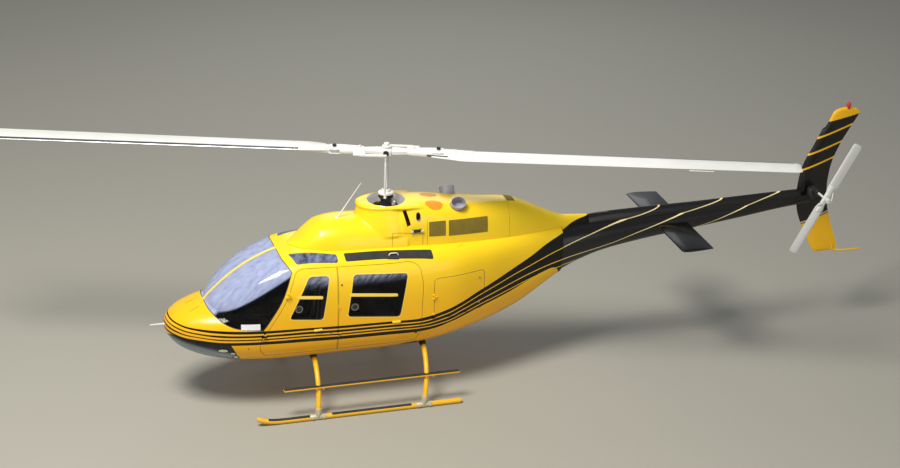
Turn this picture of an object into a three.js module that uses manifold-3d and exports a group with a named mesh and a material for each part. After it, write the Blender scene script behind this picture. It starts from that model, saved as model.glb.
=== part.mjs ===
// A five-seat light turbine helicopter on skids, in millimetres, +Z up, nose towards -X.
// Stations: x runs aft from the nose tip, y to starboard, z up from the belly line.
import * as THREE from 'three';
import { mergeVertices } from 'three/addons/utils/BufferGeometryUtils.js';
import Module from 'manifold-3d';

const wasm = await Module();
wasm.setup();

// Driving dimensions
const GROUND = -620;            // underside of the skid tubes
const WALL = 30;                // cabin wall and door thickness
const FLANGE = 12;              // thin outer rim of each door
const DOOR_GAP = 9;
const GAP = 0.4;                // fitting gap between fixed pieces
const GLASS_OUT = 3;            // glass surface lies this far inside the skin
const GLASS = 6;
const MAST_X = 2810;
const HUB_Z = 2480;
const ROTOR_R = 5080;
const CHORD = 330;
const REST_ANGLE = -19;         // rotor parked at this angle, degrees
const TAIL_ROTOR = { x: 8690, y: -340, z: 1420, r: 826 };
const SKID_Y = 940;
const SKID_R = 34;
const LEG_R = 31;
const FIN_Y = 78;

const YELLOW = 0xf2b407, BLACK = 0x17140f, WHITE = 0xe9e9e6, DARK = 0x24252a;

// Hull tables: one row per station
const HALF_WIDTH = [[0, 0], [20, 110], [50, 180], [120, 275], [200, 355], [350, 440], [500, 505],
  [800, 590], [1100, 635], [1500, 660], [2000, 665], [2600, 665], [3100, 655], [3500, 620],
  [4000, 490], [4500, 345], [4900, 270], [5200, 235]];
const KEEL = [[0, 440], [20, 360], [50, 300], [150, 200], [300, 120], [500, 55], [900, -15],
  [1400, -40], [2600, -40], [3200, -10], [3600, 50], [4000, 120], [4350, 220], [4550, 300],
  [4750, 420], [4900, 520], [5100, 650], [5300, 750]];
const NOSE_TOP = [[0, 440], [20, 510], [50, 555], [150, 625], [300, 685], [500, 735], [700, 765],
  [1000, 790], [1400, 800], [2000, 800], [5300, 800]];
const CROWN = [[420, 550], [500, 725], [650, 885], [870, 1065], [1090, 1200], [1420, 1330],
  [1600, 1370], [1800, 1385], [2500, 1385], [3000, 1365], [3500, 1340], [4200, 1310], [5200, 1280]];
const BUBBLE_WIDTH = [[420, 20], [500, 150], [550, 280], [650, 440], [800, 565], [1000, 620],
  [1200, 642], [1500, 660], [2000, 665], [2600, 665], [3100, 655], [3500, 620], [4000, 490],
  [4500, 345], [4900, 270], [5200, 235]];
const WIDEST = [[0, 440], [300, 440], [1000, 460], [3200, 470], [4000, 620], [4500, 780],
  [5000, 950], [5200, 980]];

// Smooth monotone curve through a table of [x, value] rows
function curve(rows) {
  const n = rows.length, h = [], s = [], m = new Array(n);
  for (let i = 0; i < n - 1; i++) {
    h.push(rows[i + 1][0] - rows[i][0]);
    s.push((rows[i + 1][1] - rows[i][1]) / h[i]);
  }
  m[0] = s[0];
  m[n - 1] = s[n - 2];
  for (let i = 1; i < n - 1; i++) {
    const a = 2 * h[i] + h[i - 1], b = h[i] + 2 * h[i - 1];
    m[i] = s[i - 1] * s[i] <= 0 ? 0 : (a + b) / (a / s[i - 1] + b / s[i]);
  }
  return (x) => {
    let i = 0;
    while (i < n - 2 && x > rows[i + 1][0]) i++;
    const t = Math.min(Math.max((x - rows[i][0]) / h[i], 0), 1), u = 1 - t;
    return (1 + 2 * t) * u * u * rows[i][1] + t * u * u * h[i] * m[i]
      + t * t * (3 - 2 * t) * rows[i + 1][1] - t * t * u * h[i] * m[i + 1];
  };
}
const halfWidth = curve(HALF_WIDTH), keel = curve(KEEL), noseTop = curve(NOSE_TOP);
const crown = curve(CROWN), bubbleWidth = curve(BUBBLE_WIDTH), widest = curve(WIDEST);

const oval = (c, s, a, b, n) => Math.pow(Math.pow(c / a, n) + Math.pow(s / b, n), -1 / n);

// Distance of the hull from its axis at station x, in the direction of angle p
function hullRadius(x, p) {
  const c = Math.abs(Math.cos(p)), s = Math.abs(Math.sin(p)), z = widest(x);
  if (Math.sin(p) < 0) return oval(c, s, halfWidth(x), z - keel(x), 2.8);
  const nose = oval(c, s, halfWidth(x), Math.max(noseTop(x) - z, 1), 2.4);
  if (x < 430) return nose;
  const power = 3.2 + 1.2 * Math.min(Math.max((x - 450) / 900, 0), 1);
  return Math.max(nose, oval(c, s, bubbleWidth(x), Math.max(crown(x) - z, 1), power));
}

// Closed body through rings of points; the ends are closed flat
function loftGeometry(rings) {
  const n = rings[0].length, v = rings.flat(2), index = [];
  for (let i = 0; i < rings.length - 1; i++) {
    for (let j = 0; j < n; j++) {
      const a = i * n + j, b = i * n + (j + 1) % n, c = a + n, d = b + n;
      index.push(a, c, b, b, c, d);
    }
  }
  for (const [k, flip] of [[0, false], [rings.length - 1, true]]) {
    const mid = [0, 1, 2].map((q) => rings[k].reduce((t, r) => t + r[q], 0) / n);
    const at = v.length / 3;
    v.push(...mid);
    for (let j = 0; j < n; j++) {
      const a = k * n + j, b = k * n + (j + 1) % n;
      index.push(...(flip ? [at, b, a] : [at, a, b]));
    }
  }
  let volume = 0;
  for (let i = 0; i < index.length; i += 3) {
    const [a, b, c] = [0, 1, 2].map((q) => new THREE.Vector3().fromArray(v, 3 * index[i + q]));
    volume += a.dot(b.cross(c));
  }
  if (volume < 0) for (let i = 0; i < index.length; i += 3) index.splice(i, 2, index[i + 1], index[i]);
  const g = new THREE.BufferGeometry();
  g.setAttribute('position', new THREE.Float32BufferAttribute(v, 3));
  g.setIndex(index);
  return g;
}

function solid(geometry) {
  const g = geometry.clone();
  g.deleteAttribute('normal');
  g.deleteAttribute('uv');
  const m = mergeVertices(g, 1e-3);
  return new wasm.Manifold(new wasm.Mesh({
    numProp: 3,
    vertProperties: new Float32Array(m.attributes.position.array),
    triVerts: new Uint32Array(m.index.array),
  }));
}

function geometryOf(body) {
  const m = body.getMesh(), g = new THREE.BufferGeometry(), p = [];
  for (let i = 0; i < m.numVert; i++) p.push(...m.vertProperties.slice(i * m.numProp, i * m.numProp + 3));
  g.setAttribute('position', new THREE.Float32BufferAttribute(p, 3));
  g.setIndex(Array.from(m.triVerts));
  return g;
}

const loft = (rings) => solid(loftGeometry(rings));
const circle = (n, fn) => Array.from({ length: n }, (_, j) => fn((2 * Math.PI * (j + 0.5)) / n));

// The hull drawn in by a depth all round
function hull(depth, stations, points) {
  return loft(stations.map((x) => circle(points, (p) => {
    const r = Math.max(hullRadius(x, p) - depth, 2);
    return [x, r * Math.cos(p), widest(x) + r * Math.sin(p)];
  })));
}
const SKIN_X = [1, 12, 40, 90, 160, 260, 370, 460, 520, 600, 700, 830, 1000, 1200, 1400, 1650, 2000,
  2500, 2950, 3250, 3550, 3850, 4150, 4450, 4700, 4900, 5100];
const INNER_X = [45, 100, 200, 330, 470, 600, 800, 1050, 1300, 1500, 2000, 2600, 3150, 3600,
  4000, 4350, 4700, 5101];

// Side view outlines are [x, z] rows; a prism of one runs between two y values
function prism(rows, y0, y1) {
  const shape = new THREE.Shape(rows.map(([x, z]) => new THREE.Vector2(x, z)));
  const g = new THREE.ExtrudeGeometry(shape, { depth: y1 - y0, bevelEnabled: false, steps: 1 });
  return solid(g.rotateX(Math.PI / 2).translate(0, y1, 0));
}
function box(x0, x1, y0, y1, z0, z1) {
  return solid(new THREE.BoxGeometry(x1 - x0, y1 - y0, z1 - z0)
    .translate((x0 + x1) / 2, (y0 + y1) / 2, (z0 + z1) / 2));
}

// The outline moved inwards by a distance
function inset(rows, d) {
  const n = rows.length;
  const area = rows.reduce((t, [x, z], i) => t + x * rows[(i + 1) % n][1] - rows[(i + 1) % n][0] * z, 0);
  const k = area > 0 ? d : -d;
  const lines = rows.map(([x, z], i) => {
    const [u, w] = rows[(i + 1) % n], l = Math.hypot(u - x, w - z);
    return [x - ((w - z) / l) * k, z + ((u - x) / l) * k, (u - x) / l, (w - z) / l];
  });
  return rows.map((_, i) => {
    const [ax, az, au, aw] = lines[(i + n - 1) % n], [bx, bz, bu, bw] = lines[i];
    const cross = au * bw - aw * bu;
    if (Math.abs(cross) < 1e-6) return [bx, bz];
    const t = ((bx - ax) * bw - (bz - az) * bu) / cross;
    return [ax + au * t, az + aw * t];
  });
}

// The outline with each corner rounded by a short curve
function rounded(rows, r) {
  const n = rows.length;
  return rows.flatMap(([x, z], i) => {
    const ends = [rows[(i + n - 1) % n], rows[(i + 1) % n]].map(([u, w]) => {
      const l = Math.hypot(u - x, w - z), k = Math.min(r, l * 0.45) / l;
      return new THREE.Vector2(x + (u - x) * k, z + (w - z) * k);
    });
    const c = new THREE.QuadraticBezierCurve(ends[0], new THREE.Vector2(x, z), ends[1]);
    return c.getPoints(2).map((p) => [p.x, p.y]);
  });
}

// Hinge lines: two points on each axis, starboard side, and where along it the two hinges sit
const HINGES = {
  front: [[1112, 662, 420], [1438, 670, 980], [0.04, 0.96]],
  rear: [[2046, 668, 300], [2046, 668, 900], [0.13, 0.73]],
  baggage: [[3279, 654, 400], [3279, 654, 900], [0.16, 0.68]],
};

// Knuckles and arms of one hinge line: the moving part, or the fixed part
function hinge(which, s, moving, reach, thick) {
  const [p, q, places] = HINGES[which];
  const low = new THREE.Vector3(p[0], s * p[1], p[2]), high = new THREE.Vector3(q[0], s * q[1], q[2]);
  const u = high.clone().sub(low).normalize();
  const aft = new THREE.Vector3(1, 0, 0).addScaledVector(u, -u.x).normalize();
  const out = new THREE.Vector3().crossVectors(u, aft);
  if (out.y * s < 0) out.negate();
  let body = null;
  for (const t of places) {
    const frame = new THREE.Matrix4().makeBasis(aft, out, new THREE.Vector3().crossVectors(aft, out))
      .setPosition(low.clone().lerp(high, t));
    for (const w of moving ? [0] : [-24.6, 24.6]) {
      const knuckle = new THREE.CylinderGeometry(6, 6, 24, 6).rotateX(Math.PI / 2).translate(0, 0, w);
      const [a0, a1] = thick ? [-3, 3] : moving ? [4.5, 30] : [-26, 0];
      const arm = new THREE.BoxGeometry(a1 - a0, reach, 20).translate((a0 + a1) / 2, 3 - reach / 2, w);
      for (const g of [knuckle, arm]) {
        const part = solid(g.applyMatrix4(frame));
        body = body ? body.add(part) : part;
      }
    }
  }
  return body;
}

const root = new THREE.Group();
function add(name, geometry, color, roughness, metalness, parent = root) {
  const material = new THREE.MeshStandardMaterial({ color, roughness, metalness });
  const mesh = new THREE.Mesh(geometry, material);
  mesh.name = name;
  parent.add(mesh);
  return mesh;
}
const both = (fn) => { fn('left', -1); fn('right', 1); };
const both2 = (fn) => fn(-1).add(fn(1));
const side = (s, rows, near = 5) => (s < 0 ? prism(rows, -900, -near) : prism(rows, near, 900));

// Cabin skin, its inner face and the glass layers
const outer = hull(0, SKIN_X, 24);
const inner = hull(WALL, INNER_X, 16);
const skin = outer.subtract(inner);
const rim = outer.subtract(hull(FLANGE, INNER_X, 16));
const glassSkin = hull(GLASS_OUT, SKIN_X.slice(1), 24).subtract(hull(GLASS_OUT + GLASS, SKIN_X.slice(2), 24));

// Outlines in side view
const WIND_LOW = [[440, 830], [480, 752], [497, 722], [545, 678], [638, 611], [764, 555], [950, 524],
  [1118, 513]];
const WIND_AFT = [[1180, 600], [1337, 859], [1470, 1180], [1494, 1232], [1426, 1311], [1394, 1323],
  [1380, 1420]];
const WIND = [...WIND_LOW, ...WIND_AFT, [440, 1420]];
const FRONT_EDGE = [[1140, 147], [1075, 250], [1085, 380], [1165, 500], [1382, 859], [1517, 1196],
  [1600, 1252], [1741, 1256]];
const REAR_EDGE = [[2584, 1230], [3019, 1208], [3090, 1148], [3117, 1043], [3122, 600], [3118, 420],
  [3100, 270], [3050, 147]];
const OPENING = [...FRONT_EDGE, ...REAR_EDGE];
const FRONT_OUT = [...FRONT_EDGE, [2043, 1248], [2043, 147]];
const REAR_OUT = [[2047, 1248], ...REAR_EDGE, [2047, 147]];
const FRONT_WINDOW = rounded([[1687, 1172], [1944, 1158], [1857, 590], [1429, 638]], 55);
const REAR_WINDOW = rounded([[2242, 1146], [2938, 1098], [2838, 524], [2160, 598]], 55);
const CHIN = [[90, 300], [140, 375], [300, 372], [520, 345], [726, 335], [770, 250], [880, 40],
  [600, -60], [300, 60], [150, 160]];
const SKYLIGHT = rounded([[1497, 286], [2073, 435], [2070, 542], [1555, 503]], 30);   // seen from above
const BAGGAGE = rounded([[3275, 420], [3275, 980], [3975, 980], [3975, 466]], 60);

// A prism standing on an outline seen from above, on one side of the ship
const plan = (s, rows, z0, z1) => {
  const g = new THREE.ExtrudeGeometry(new THREE.Shape(rows.map(([x, y]) => new THREE.Vector2(x, s * y))),
    { depth: z1 - z0, bevelEnabled: false, steps: 1 });
  return solid(g.translate(0, 0, z0));
};

const opening = prism(OPENING, -900, 900);
const wind = prism(WIND, -900, 900);

// Nose and chin
let nose = skin.intersect(box(-10, 1160, -900, 900, -200, 900)).subtract(wind).subtract(opening)
  .subtract(box(1000, 1300, -900, 900, -200, 147));
both((_, s) => { nose = nose.subtract(side(s, rounded(CHIN, 25), 45)); });
const frontFixed = both2((s) => hinge('front', s, false, 52, false));
const frontLow = frontFixed.intersect(box(1000, 1300, -900, 900, 300, 480)).subtract(inner);
add('nose_shell', geometryOf(nose.add(frontLow)), YELLOW, 0.3, 0.1);

// Belly, floor and cabin bulkhead line
const FLOOR_Z = 80;
const tubeBore = (x) => legTube(x, LEG_R + GAP);
let belly = skin.intersect(box(1000 + GAP, 3115, -900, 900, -200, 147 - GAP));

function legTube(x, r, points = 8, steps = 16) {
  const lean = (x < 2400 ? 60 : 110);
  const up = x < 2400 ? 0 : 30;
  const half = [[-SKID_Y, -560], [-930, -500], [-885, -380], [-790, -225], [-650, -95], [-500, up * 0.4 - 12],
    [-380, up * 0.8 + 22], [-200, up + 34]];
  const rows = [...half, [0, up + 35], ...half.map(([y, z]) => [-y, z]).reverse()];
  const path = new THREE.CatmullRomCurve3(rows.map(([y, z]) => new THREE.Vector3(
    x + lean * Math.min(1, (z + 560) / 540), y, z)));
  const shape = new THREE.Shape(circle(points, (p) => new THREE.Vector2(r * Math.cos(p), r * Math.sin(p))));
  return solid(new THREE.ExtrudeGeometry(shape, { extrudePath: path, steps, bevelEnabled: false }));
}
const LEGS = [['front', 1725], ['rear', 3085]];
for (const [, x] of LEGS) belly = belly.subtract(tubeBore(x));
add('belly_pan', geometryOf(belly), YELLOW, 0.35, 0.1);

const cabin = hull(WALL + 15, INNER_X, 16);
const seatBoxes = box(1460, 1940, -500, 500, FLOOR_Z, 240).add(box(2640, 3110, -560, 560, FLOOR_Z, 240));
const floor = hull(WALL + GAP, INNER_X, 16).intersect(box(950, 3110, -900, 900, FLOOR_Z, FLOOR_Z + 22))
  .add(seatBoxes.intersect(cabin));
add('cabin_floor', geometryOf(floor), 0x6d6f73, 0.8, 0);

// Roof and posts
let roof = skin.intersect(prism([[1380, 1460], [1380, 1215], [1600, 1215], [1600, 1190], [3115, 1190],
  [3115, 1460]], -900, 900)).subtract(opening).subtract(wind);
both((_, s) => { roof = roof.subtract(plan(s, SKYLIGHT, 1150, 1450)); });
const centre = skin.intersect(box(400, 1500, -14, 14, 600, 1400))
  .intersect(prism([...WIND_LOW, [1300, 600], [1450, 1420], [440, 1420]], -100, 100)).subtract(nose);
add('roof_panel', geometryOf(roof.add(centre)), YELLOW, 0.3, 0.1);

both((name, s) => {
  const post = skin.intersect(side(s, [[1161, 490], [1161, 900], [1300, 1215 - GAP], [1599, 1215 - GAP],
    [1599, 1160], [1300, 600]])).subtract(opening).subtract(wind)
    .add(frontFixed.intersect(side(s, [[1300, 900], [1600, 900], [1600, 1100], [1300, 1100]])).subtract(inner));
  add(`windshield_post_${name}`, geometryOf(post), YELLOW, 0.3, 0.1);
});

const postSkin = hull(WALL + 7, INNER_X, 16).subtract(hull(WALL + 37, INNER_X, 16));
both((name, s) => {
  const post = postSkin.intersect(side(s, [[2000, FLOOR_Z + 22 + GAP], [2090, FLOOR_Z + 22 + GAP],
    [2090, 1232], [2000, 1232]])).add(hinge('rear', s, false, 80, true));
  add(`door_post_${name}`, geometryOf(post), YELLOW, 0.4, 0.1);
});

// Windows
both((name, s) => {
  const cut = s < 0 ? box(0, 1600, -900, -14 - GAP, 0, 1500) : box(0, 1600, 14 + GAP, 900, 0, 1500);
  const windshield = glassSkin.intersect(prism(inset(WIND, GAP), -900, 900)).intersect(cut);
  add(`windshield_${name}`, geometryOf(windshield), 0x8e97ad, 0.05, 0);
  const chin = glassSkin.intersect(side(s, inset(rounded(CHIN, 25), GAP), 45 + GAP));
  add(`chin_window_${name}`, geometryOf(chin), 0x7d8f9c, 0.08, 0);
  add(`skylight_${name}`, geometryOf(glassSkin.intersect(plan(s, inset(SKYLIGHT, GAP), 1150, 1450))),
    0x3a4250, 0.05, 0);
});

// Doors: a thin rim outside, the full thickness inside it, and the window
const DOORS = [['front', FRONT_OUT, FRONT_WINDOW], ['rear', REAR_OUT, REAR_WINDOW]];
both((name, s) => {
  for (const [which, outline, window] of DOORS) {
    const door = rim.intersect(side(s, inset(outline, DOOR_GAP)))
      .add(skin.intersect(side(s, inset(outline, DOOR_GAP + 20))))
      .subtract(side(s, window));
    const knobX = which === 'front' ? 1790 : 2785;
    const knob = box(knobX - 55, knobX + 55, s < 0 ? -690 : 640, s < 0 ? -640 : 690, 455, 480);
    const knuckles = hinge(which, s, true, which === 'front' ? 48 : 26, false).subtract(inner);
    add(`${which}_door_${name}`, geometryOf(door.add(knob).add(knuckles)), YELLOW, 0.3, 0.1);
    add(`${which}_window_${name}`, geometryOf(glassSkin.intersect(side(s, inset(window, GAP)))),
      0x3a4250, 0.05, 0);
  }
});

// Aft fuselage with its bulkhead and baggage bay door
const bulkhead = outer.intersect(box(3115 + GAP, 3130, -900, 900, -200, 1500));
let aft = skin.intersect(box(3115 + GAP, 5200, -900, 900, -200, 1500)).add(bulkhead)
  .add(skin.intersect(box(3030, 3120, -900, 900, 147, 1190 - GAP))).subtract(opening)
  .subtract(prism(BAGGAGE, -900, -5)).add(hinge('baggage', -1, false, 46, false).subtract(inner))
  .subtract(tubeBore(3085));
add('aft_fuselage', geometryOf(aft), YELLOW, 0.3, 0.1);
add('baggage_door', geometryOf(rim.intersect(prism(inset(BAGGAGE, DOOR_GAP), -900, -5))
  .add(skin.intersect(prism(inset(BAGGAGE, DOOR_GAP + 20), -900, -5)))
  .add(hinge('baggage', -1, true, 46, false).subtract(inner))), YELLOW, 0.3, 0.1);

// Fairing ahead of the mast and engine cowl: rows are x, half width, top, base
const FAIRING = [[1560, 60, 1380, 1290, 2.6], [1610, 150, 1400, 1300, 2.6], [1680, 225, 1446, 1280, 2.6],
  [1800, 300, 1550, 1260, 2.6], [1950, 350, 1648, 1250, 2.6], [2200, 385, 1680, 1240, 2.6],
  [2550, 400, 1668, 1230, 2.6], [2940, 405, 1680, 1230, 2.6]];
const COWL = [[2940, 372, 1842, 1230, 4], [3150, 378, 1840, 1230, 4], [3400, 372, 1816, 1220, 4],
  [3700, 350, 1776, 1210, 3.8], [4070, 305, 1736, 1200, 3.4], [4400, 255, 1715, 1200, 3.1],
  [4680, 205, 1611, 1180, 2.9], [4950, 160, 1482, 1160, 2.7], [5160, 130, 1400, 1150, 2.6],
  [5330, 105, 1388, 1150, 2.6], [5500, 75, 1378, 1150, 2.6]];
// Arched body; the last number of a row squares its shoulders
const hump = (rows, depth, n) => loft(rows.map(([x, w, top, base, power]) => {
  return Array.from({ length: n }, (_, j) => {
    const p = (Math.PI * j) / (n - 1), c = Math.cos(p), s = Math.sin(p);
    const r = oval(Math.abs(c), Math.max(s, 1e-9), w - depth, top - base - depth, power);
    return [x, r * c, base + r * s];
  });
}));
const column = (r, z0, z1, n = 40, x = MAST_X, y = 0) => solid(
  new THREE.CylinderGeometry(r, r, z1 - z0, n).rotateX(Math.PI / 2).translate(x, y, (z0 + z1) / 2));
const clearHull = hull(-GAP, SKIN_X, 24);
const profile = (rows, x, y, n) => solid(new THREE.LatheGeometry(
  rows.map(([r, z]) => new THREE.Vector2(r, z)), n).rotateX(Math.PI / 2).translate(x, y, 0));

// Drum under the lip: height, reach, half width
const DRUM = [[1480, 445, 385], [1600, 418, 352], [1700, 388, 312], [1789.6, 368, 262]];
const drum = loft(DRUM.map(([z, a, b]) => circle(24, (p) => [MAST_X + a * Math.cos(p), b * Math.sin(p), z])));
let fairing = hump(FAIRING, 0, 15).add(drum).subtract(clearHull)
  .subtract(column(215, 1200, 2000, 24)).subtract(box(2940 - GAP, 3400, -600, 600, 1000, 2000));
const fairingInside = hump(FAIRING.slice(3).map(([x, ...row]) => [x === 2940 ? 2950 : x, ...row]), 15, 11);
fairing = fairing.subtract(fairingInside);
add('mast_fairing', geometryOf(fairing), YELLOW, 0.3, 0.1);

// The cowl top runs forward round the mast as a lip, and fades into the shoulders: x, half width, height
const LIP = [[2419, 20, 1815], [2432, 75, 1816], [2460, 126, 1816], [2520, 188, 1816], [2600, 236, 1816],
  [2700, 269, 1816], [2810, 284, 1816], [2900, 298, 1816], [3000, 312, 1815], [3120, 303, 1806],
  [3260, 265, 1784], [3400, 215, 1757]];
const bulge = (v) => Math.sign(v) * Math.pow(Math.abs(v), 0.6);
const lip = loft(LIP.map(([x, w, z], i) => circle(16, (p) => [x, w * bulge(Math.cos(p)),
  z + (i ? 26 : 12) * bulge(Math.sin(p))])));
const cowlInside = hump(COWL.slice(0, 9).map(([x, ...row]) => [x === 2940 ? 2930 : x, ...row]), 15, 11);
let cowl = hump(COWL, 0, 15).add(lip)
  .subtract(clearHull).subtract(cowlInside.subtract(column(330, 1790, 2000, 20)))
  .subtract(column(240, 1200, 2000, 24));
// Oval exhaust stack leaning outwards, from z0 to z1 along its own axis
const stack = (s, r, z0, z1) => solid(new THREE.CylinderGeometry(r, r, z1 - z0, 14).rotateX(Math.PI / 2)
  .scale(1.2, 1, 1).translate(0, 0, (z0 + z1) / 2).rotateX(-s * 0.7).translate(3677, s * 186, 1724));
both((_, s) => { cowl = cowl.subtract(stack(s, 90, -190, 400)); });

// Tail boom: x, bottom, top, half width
const BOOM = [[5100 + GAP, 650, 1281, 247], [5200, 702, 1283, 238], [5330, 762, 1285, 228],
  [5680, 878, 1286, 203], [6200, 965, 1292, 163], [7000, 1058, 1305, 124], [7600, 1130, 1320, 96],
  [8250, 1213, 1345, 66], [8620, 1247, 1362, 55]];
const boomRings = (depth, n, rows = BOOM) => loft(rows.map(([x, bottom, top, w]) => circle(n, (p) => {
  const r = oval(Math.abs(Math.cos(p)), Math.abs(Math.sin(p)), w - depth, (top - bottom) / 2 - depth, 2.2);
  return [x, r * Math.cos(p), (top + bottom) / 2 + r * Math.sin(p)];
})));
const boomWide = boomRings(-GAP, 18);
cowl = cowl.subtract(boomWide);
add('engine_cowl', geometryOf(cowl), YELLOW, 0.3, 0.1);

const WING = [[0, 0], [0.03, 0.4], [0.12, 0.8], [0.3, 1], [0.62, 0.72], [1, 0.1]];
// Closed aerofoil outline: chord positions and half thicknesses, front to back and round again
const aerofoil = (c0, c1, t) => [...WING.map(([c, h]) => [c0 + (c1 - c0) * c, t * h]),
  ...WING.slice(1).reverse().map(([c, h]) => [c0 + (c1 - c0) * c, -t * h])];
const stabilizer = (grow) => loft([[-985, 0.55], [-965, 1], [965, 1], [985, 0.55]].map(([y, k]) => aerofoil(
  6640 - (215 + grow) * (0.9 + 0.1 * k), 6640 + (215 + grow) * (0.9 + 0.1 * k), (24 + grow) * k)
  .map(([x, z]) => [x, y, 1172 + z])));
add('stabilizer', geometryOf(stabilizer(0)), BLACK, 0.35, 0.1);

// Fin: height, leading edge, trailing edge, half thickness
const FIN = [[478, 8812, 9150, 10], [500, 8796, 9150, 20], [780, 8650, 9060, 24], [1000, 8545, 8985, 25],
  [1150, 8500, 8945, 25], [1300, 8480, 8925, 25], [1450, 8482, 8915, 25], [1600, 8498, 8925, 25],
  [1750, 8535, 8950, 24], [2050, 8680, 9068, 22], [2400, 8845, 9225, 20], [2500, 8890, 9268, 18],
  [2530, 8912, 9255, 9]];
const fin = (grow) => loft(FIN.map(([z, a, b, t]) => aerofoil(a - grow, b + grow, t + grow)
  .map(([x, y]) => [x, FIN_Y + y, z])));
add('fin', geometryOf(fin(0)), BLACK, 0.35, 0.1);

let boom = boomRings(0, 18).subtract(boomRings(10, 12, [[5090, 640, 1283, 250], ...BOOM.slice(1, 8),
  [8600, 1245, 1360, 56]])).subtract(stabilizer(GAP)).subtract(fin(GAP));
add('tail_boom', geometryOf(boom), BLACK, 0.35, 0.1);

// Drive shaft cover along the top of the boom: x, half width, top, base
const COVER = [[5500 + GAP, 74, 1376, 1180, 2.4], [5560, 74, 1382, 1180, 2.4], [5680, 73, 1392, 1180, 2.4],
  [7050, 66, 1414, 1220, 2.4], [8000, 60, 1438, 1250, 2.4], [8460, 56, 1446, 1280, 2.4],
  [8500, 42, 1430, 1290, 2.4]];
add('shaft_cover', geometryOf(hump(COVER, 0, 11).subtract(boomWide).subtract(fin(GAP))), BLACK, 0.4, 0.1);

const bar = (points, r, n = 12, steps = 1) => {
  const v = points.map((p) => new THREE.Vector3(...p));
  const path = v.length === 2 ? new THREE.LineCurve3(...v) : new THREE.CatmullRomCurve3(v);
  const shape = new THREE.Shape(circle(n, (p) => new THREE.Vector2(r * Math.cos(p), r * Math.sin(p))));
  return solid(new THREE.ExtrudeGeometry(shape, { extrudePath: path, steps, bevelEnabled: false }));
};
const tailSkid = bar([[9075, FIN_Y, 540], [9095, FIN_Y, 487], [9180, FIN_Y, 462], [9320, FIN_Y, 453],
  [9500, FIN_Y, 450]], 14, 8, 8);
add('tail_skid', geometryOf(tailSkid.subtract(fin(GAP))), YELLOW, 0.35, 0.1);

// Tail gearbox and tail rotor
const T = TAIL_ROTOR;
const gearbox = column(58, 1300, 1450, 16, T.x - 35).add(bar([[T.x, -160, T.z], [T.x, 50, T.z]], 50, 16))
  .subtract(bar([[T.x, -170, T.z], [T.x, -120, T.z]], 17.7, 16))
  .subtract(boomWide).subtract(fin(GAP)).subtract(hump(COVER, -1, 11));
add('tail_gearbox', geometryOf(gearbox), 0x8b8d8e, 0.45, 0.6);
let tailRotor = bar([[0, -130 - T.y, 0], [0, -45, 0]], 17, 16)
  .add(box(-34, 34, -24, 24, -105, 105)).add(bar([[0, 95, 0], [0, 55, 0]], 38, 12));
const tailTurn = new THREE.Group();
tailTurn.position.set(T.x, T.y, T.z);
tailTurn.rotation.set(0, 0.5, 0);
root.add(tailTurn);
for (const k of [1, -1]) {
  const rows = [[90, 0.75, 11], [150, 1, 10], [800, 1, 7], [T.r, 0.7, 3]];
  tailRotor = tailRotor.add(loft(rows.map(([r, w, t]) => aerofoil(-60 * w, 73 * w, t)
    .map(([c, h]) => [c * k, h, r * k]))));
}
add('tail_rotor', geometryOf(tailRotor), WHITE, 0.35, 0.2, tailTurn);

// Mast, head and blades, turning together about the vertical
const head = new THREE.Group();
head.position.set(MAST_X, 0, HUB_Z);
head.rotation.set(0, 0, THREE.MathUtils.degToRad(REST_ANGLE));
root.add(head);
const at = (r, z0, z1, n = 20, x = 0, y = 0) => column(r, z0, z1, n, x, y);
add('mast', geometryOf(at(28, 1705 - HUB_Z, -62 - GAP)), 0xb4b6b6, 0.3, 0.8, head);
const GRIP = [[250, 62, 26], [300, 78, 36], [520, 96, 42], [700, 128, 30]];
const grip = (k) => loft(GRIP.map(([r, w, t]) => circle(8, (p) => {
  const q = oval(Math.abs(Math.cos(p)), Math.abs(Math.sin(p)), w, t, 3);
  return [r * k, q * Math.cos(p) * k, q * Math.sin(p)];
})));
const yoke = loft([[-260, 55], [-120, 78], [120, 78], [260, 55]]
  .map(([x, w]) => [[x, -w, -22], [x, w, -22], [x, w, 22], [x, -w, 22]]));
let hub = yoke.add(box(-70, 70, -115, 115, -38, 38)).add(at(62, -62, 70, 12)).add(at(30, 60, 105, 8));
for (const k of [1, -1]) {
  // Pitch horn of each grip, reaching back to the rod beside the mast
  const plateOf = (x0, x1, y0, y1) => box(Math.min(x0 * k, x1 * k), Math.max(x0 * k, x1 * k),
    Math.min(y0 * k, y1 * k), Math.max(y0 * k, y1 * k), -14, 14);
  hub = hub.add(grip(k)).add(plateOf(240, 420, 70, 205)).add(plateOf(-12, 300, 158, 205));
}
const BLADE_ROOT = 560;
const blade = (k, grow) => loftGeometry([[BLADE_ROOT - grow, 0.62, 26], [760, 0.8, 22], [1000, 1, 19],
  [ROTOR_R - 60, 1, 19], [ROTOR_R, 0.86, 6]].map(([r, w, t]) => aerofoil(CHORD * 0.27 * w, -CHORD * 0.73 * w, t + grow)
  .map(([c, h]) => [r * k, c * k, h])));
for (const k of [1, -1]) hub = hub.subtract(solid(blade(k, GAP)));
add('main_rotor_hub', geometryOf(hub), 0xd7d7d4, 0.35, 0.4, head);
add('main_blade_a', blade(1, 0), WHITE, 0.35, 0.1, head);
add('main_blade_b', blade(-1, 0), WHITE, 0.35, 0.1, head);
let plate = profile([[36, 1912], [195, 1912], [195, 1946], [36, 1946], [36, 1912]]
  .map(([r, z]) => [r, z - HUB_Z]), 0, 0, 24);
for (const k of [1, -1]) plate = plate.add(bar([[0, 180 * k, 1930 - HUB_Z], [0, 180 * k, -14 - GAP]], 10, 6));
add('rotating_swashplate', geometryOf(plate), WHITE, 0.35, 0.5, head);
const ring = profile([[239.5, 1820], [239.5, 1836], [228, 1836], [160, 1764], [160, 1754], [239.5, 1820]],
  MAST_X, 0, 24);
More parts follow.
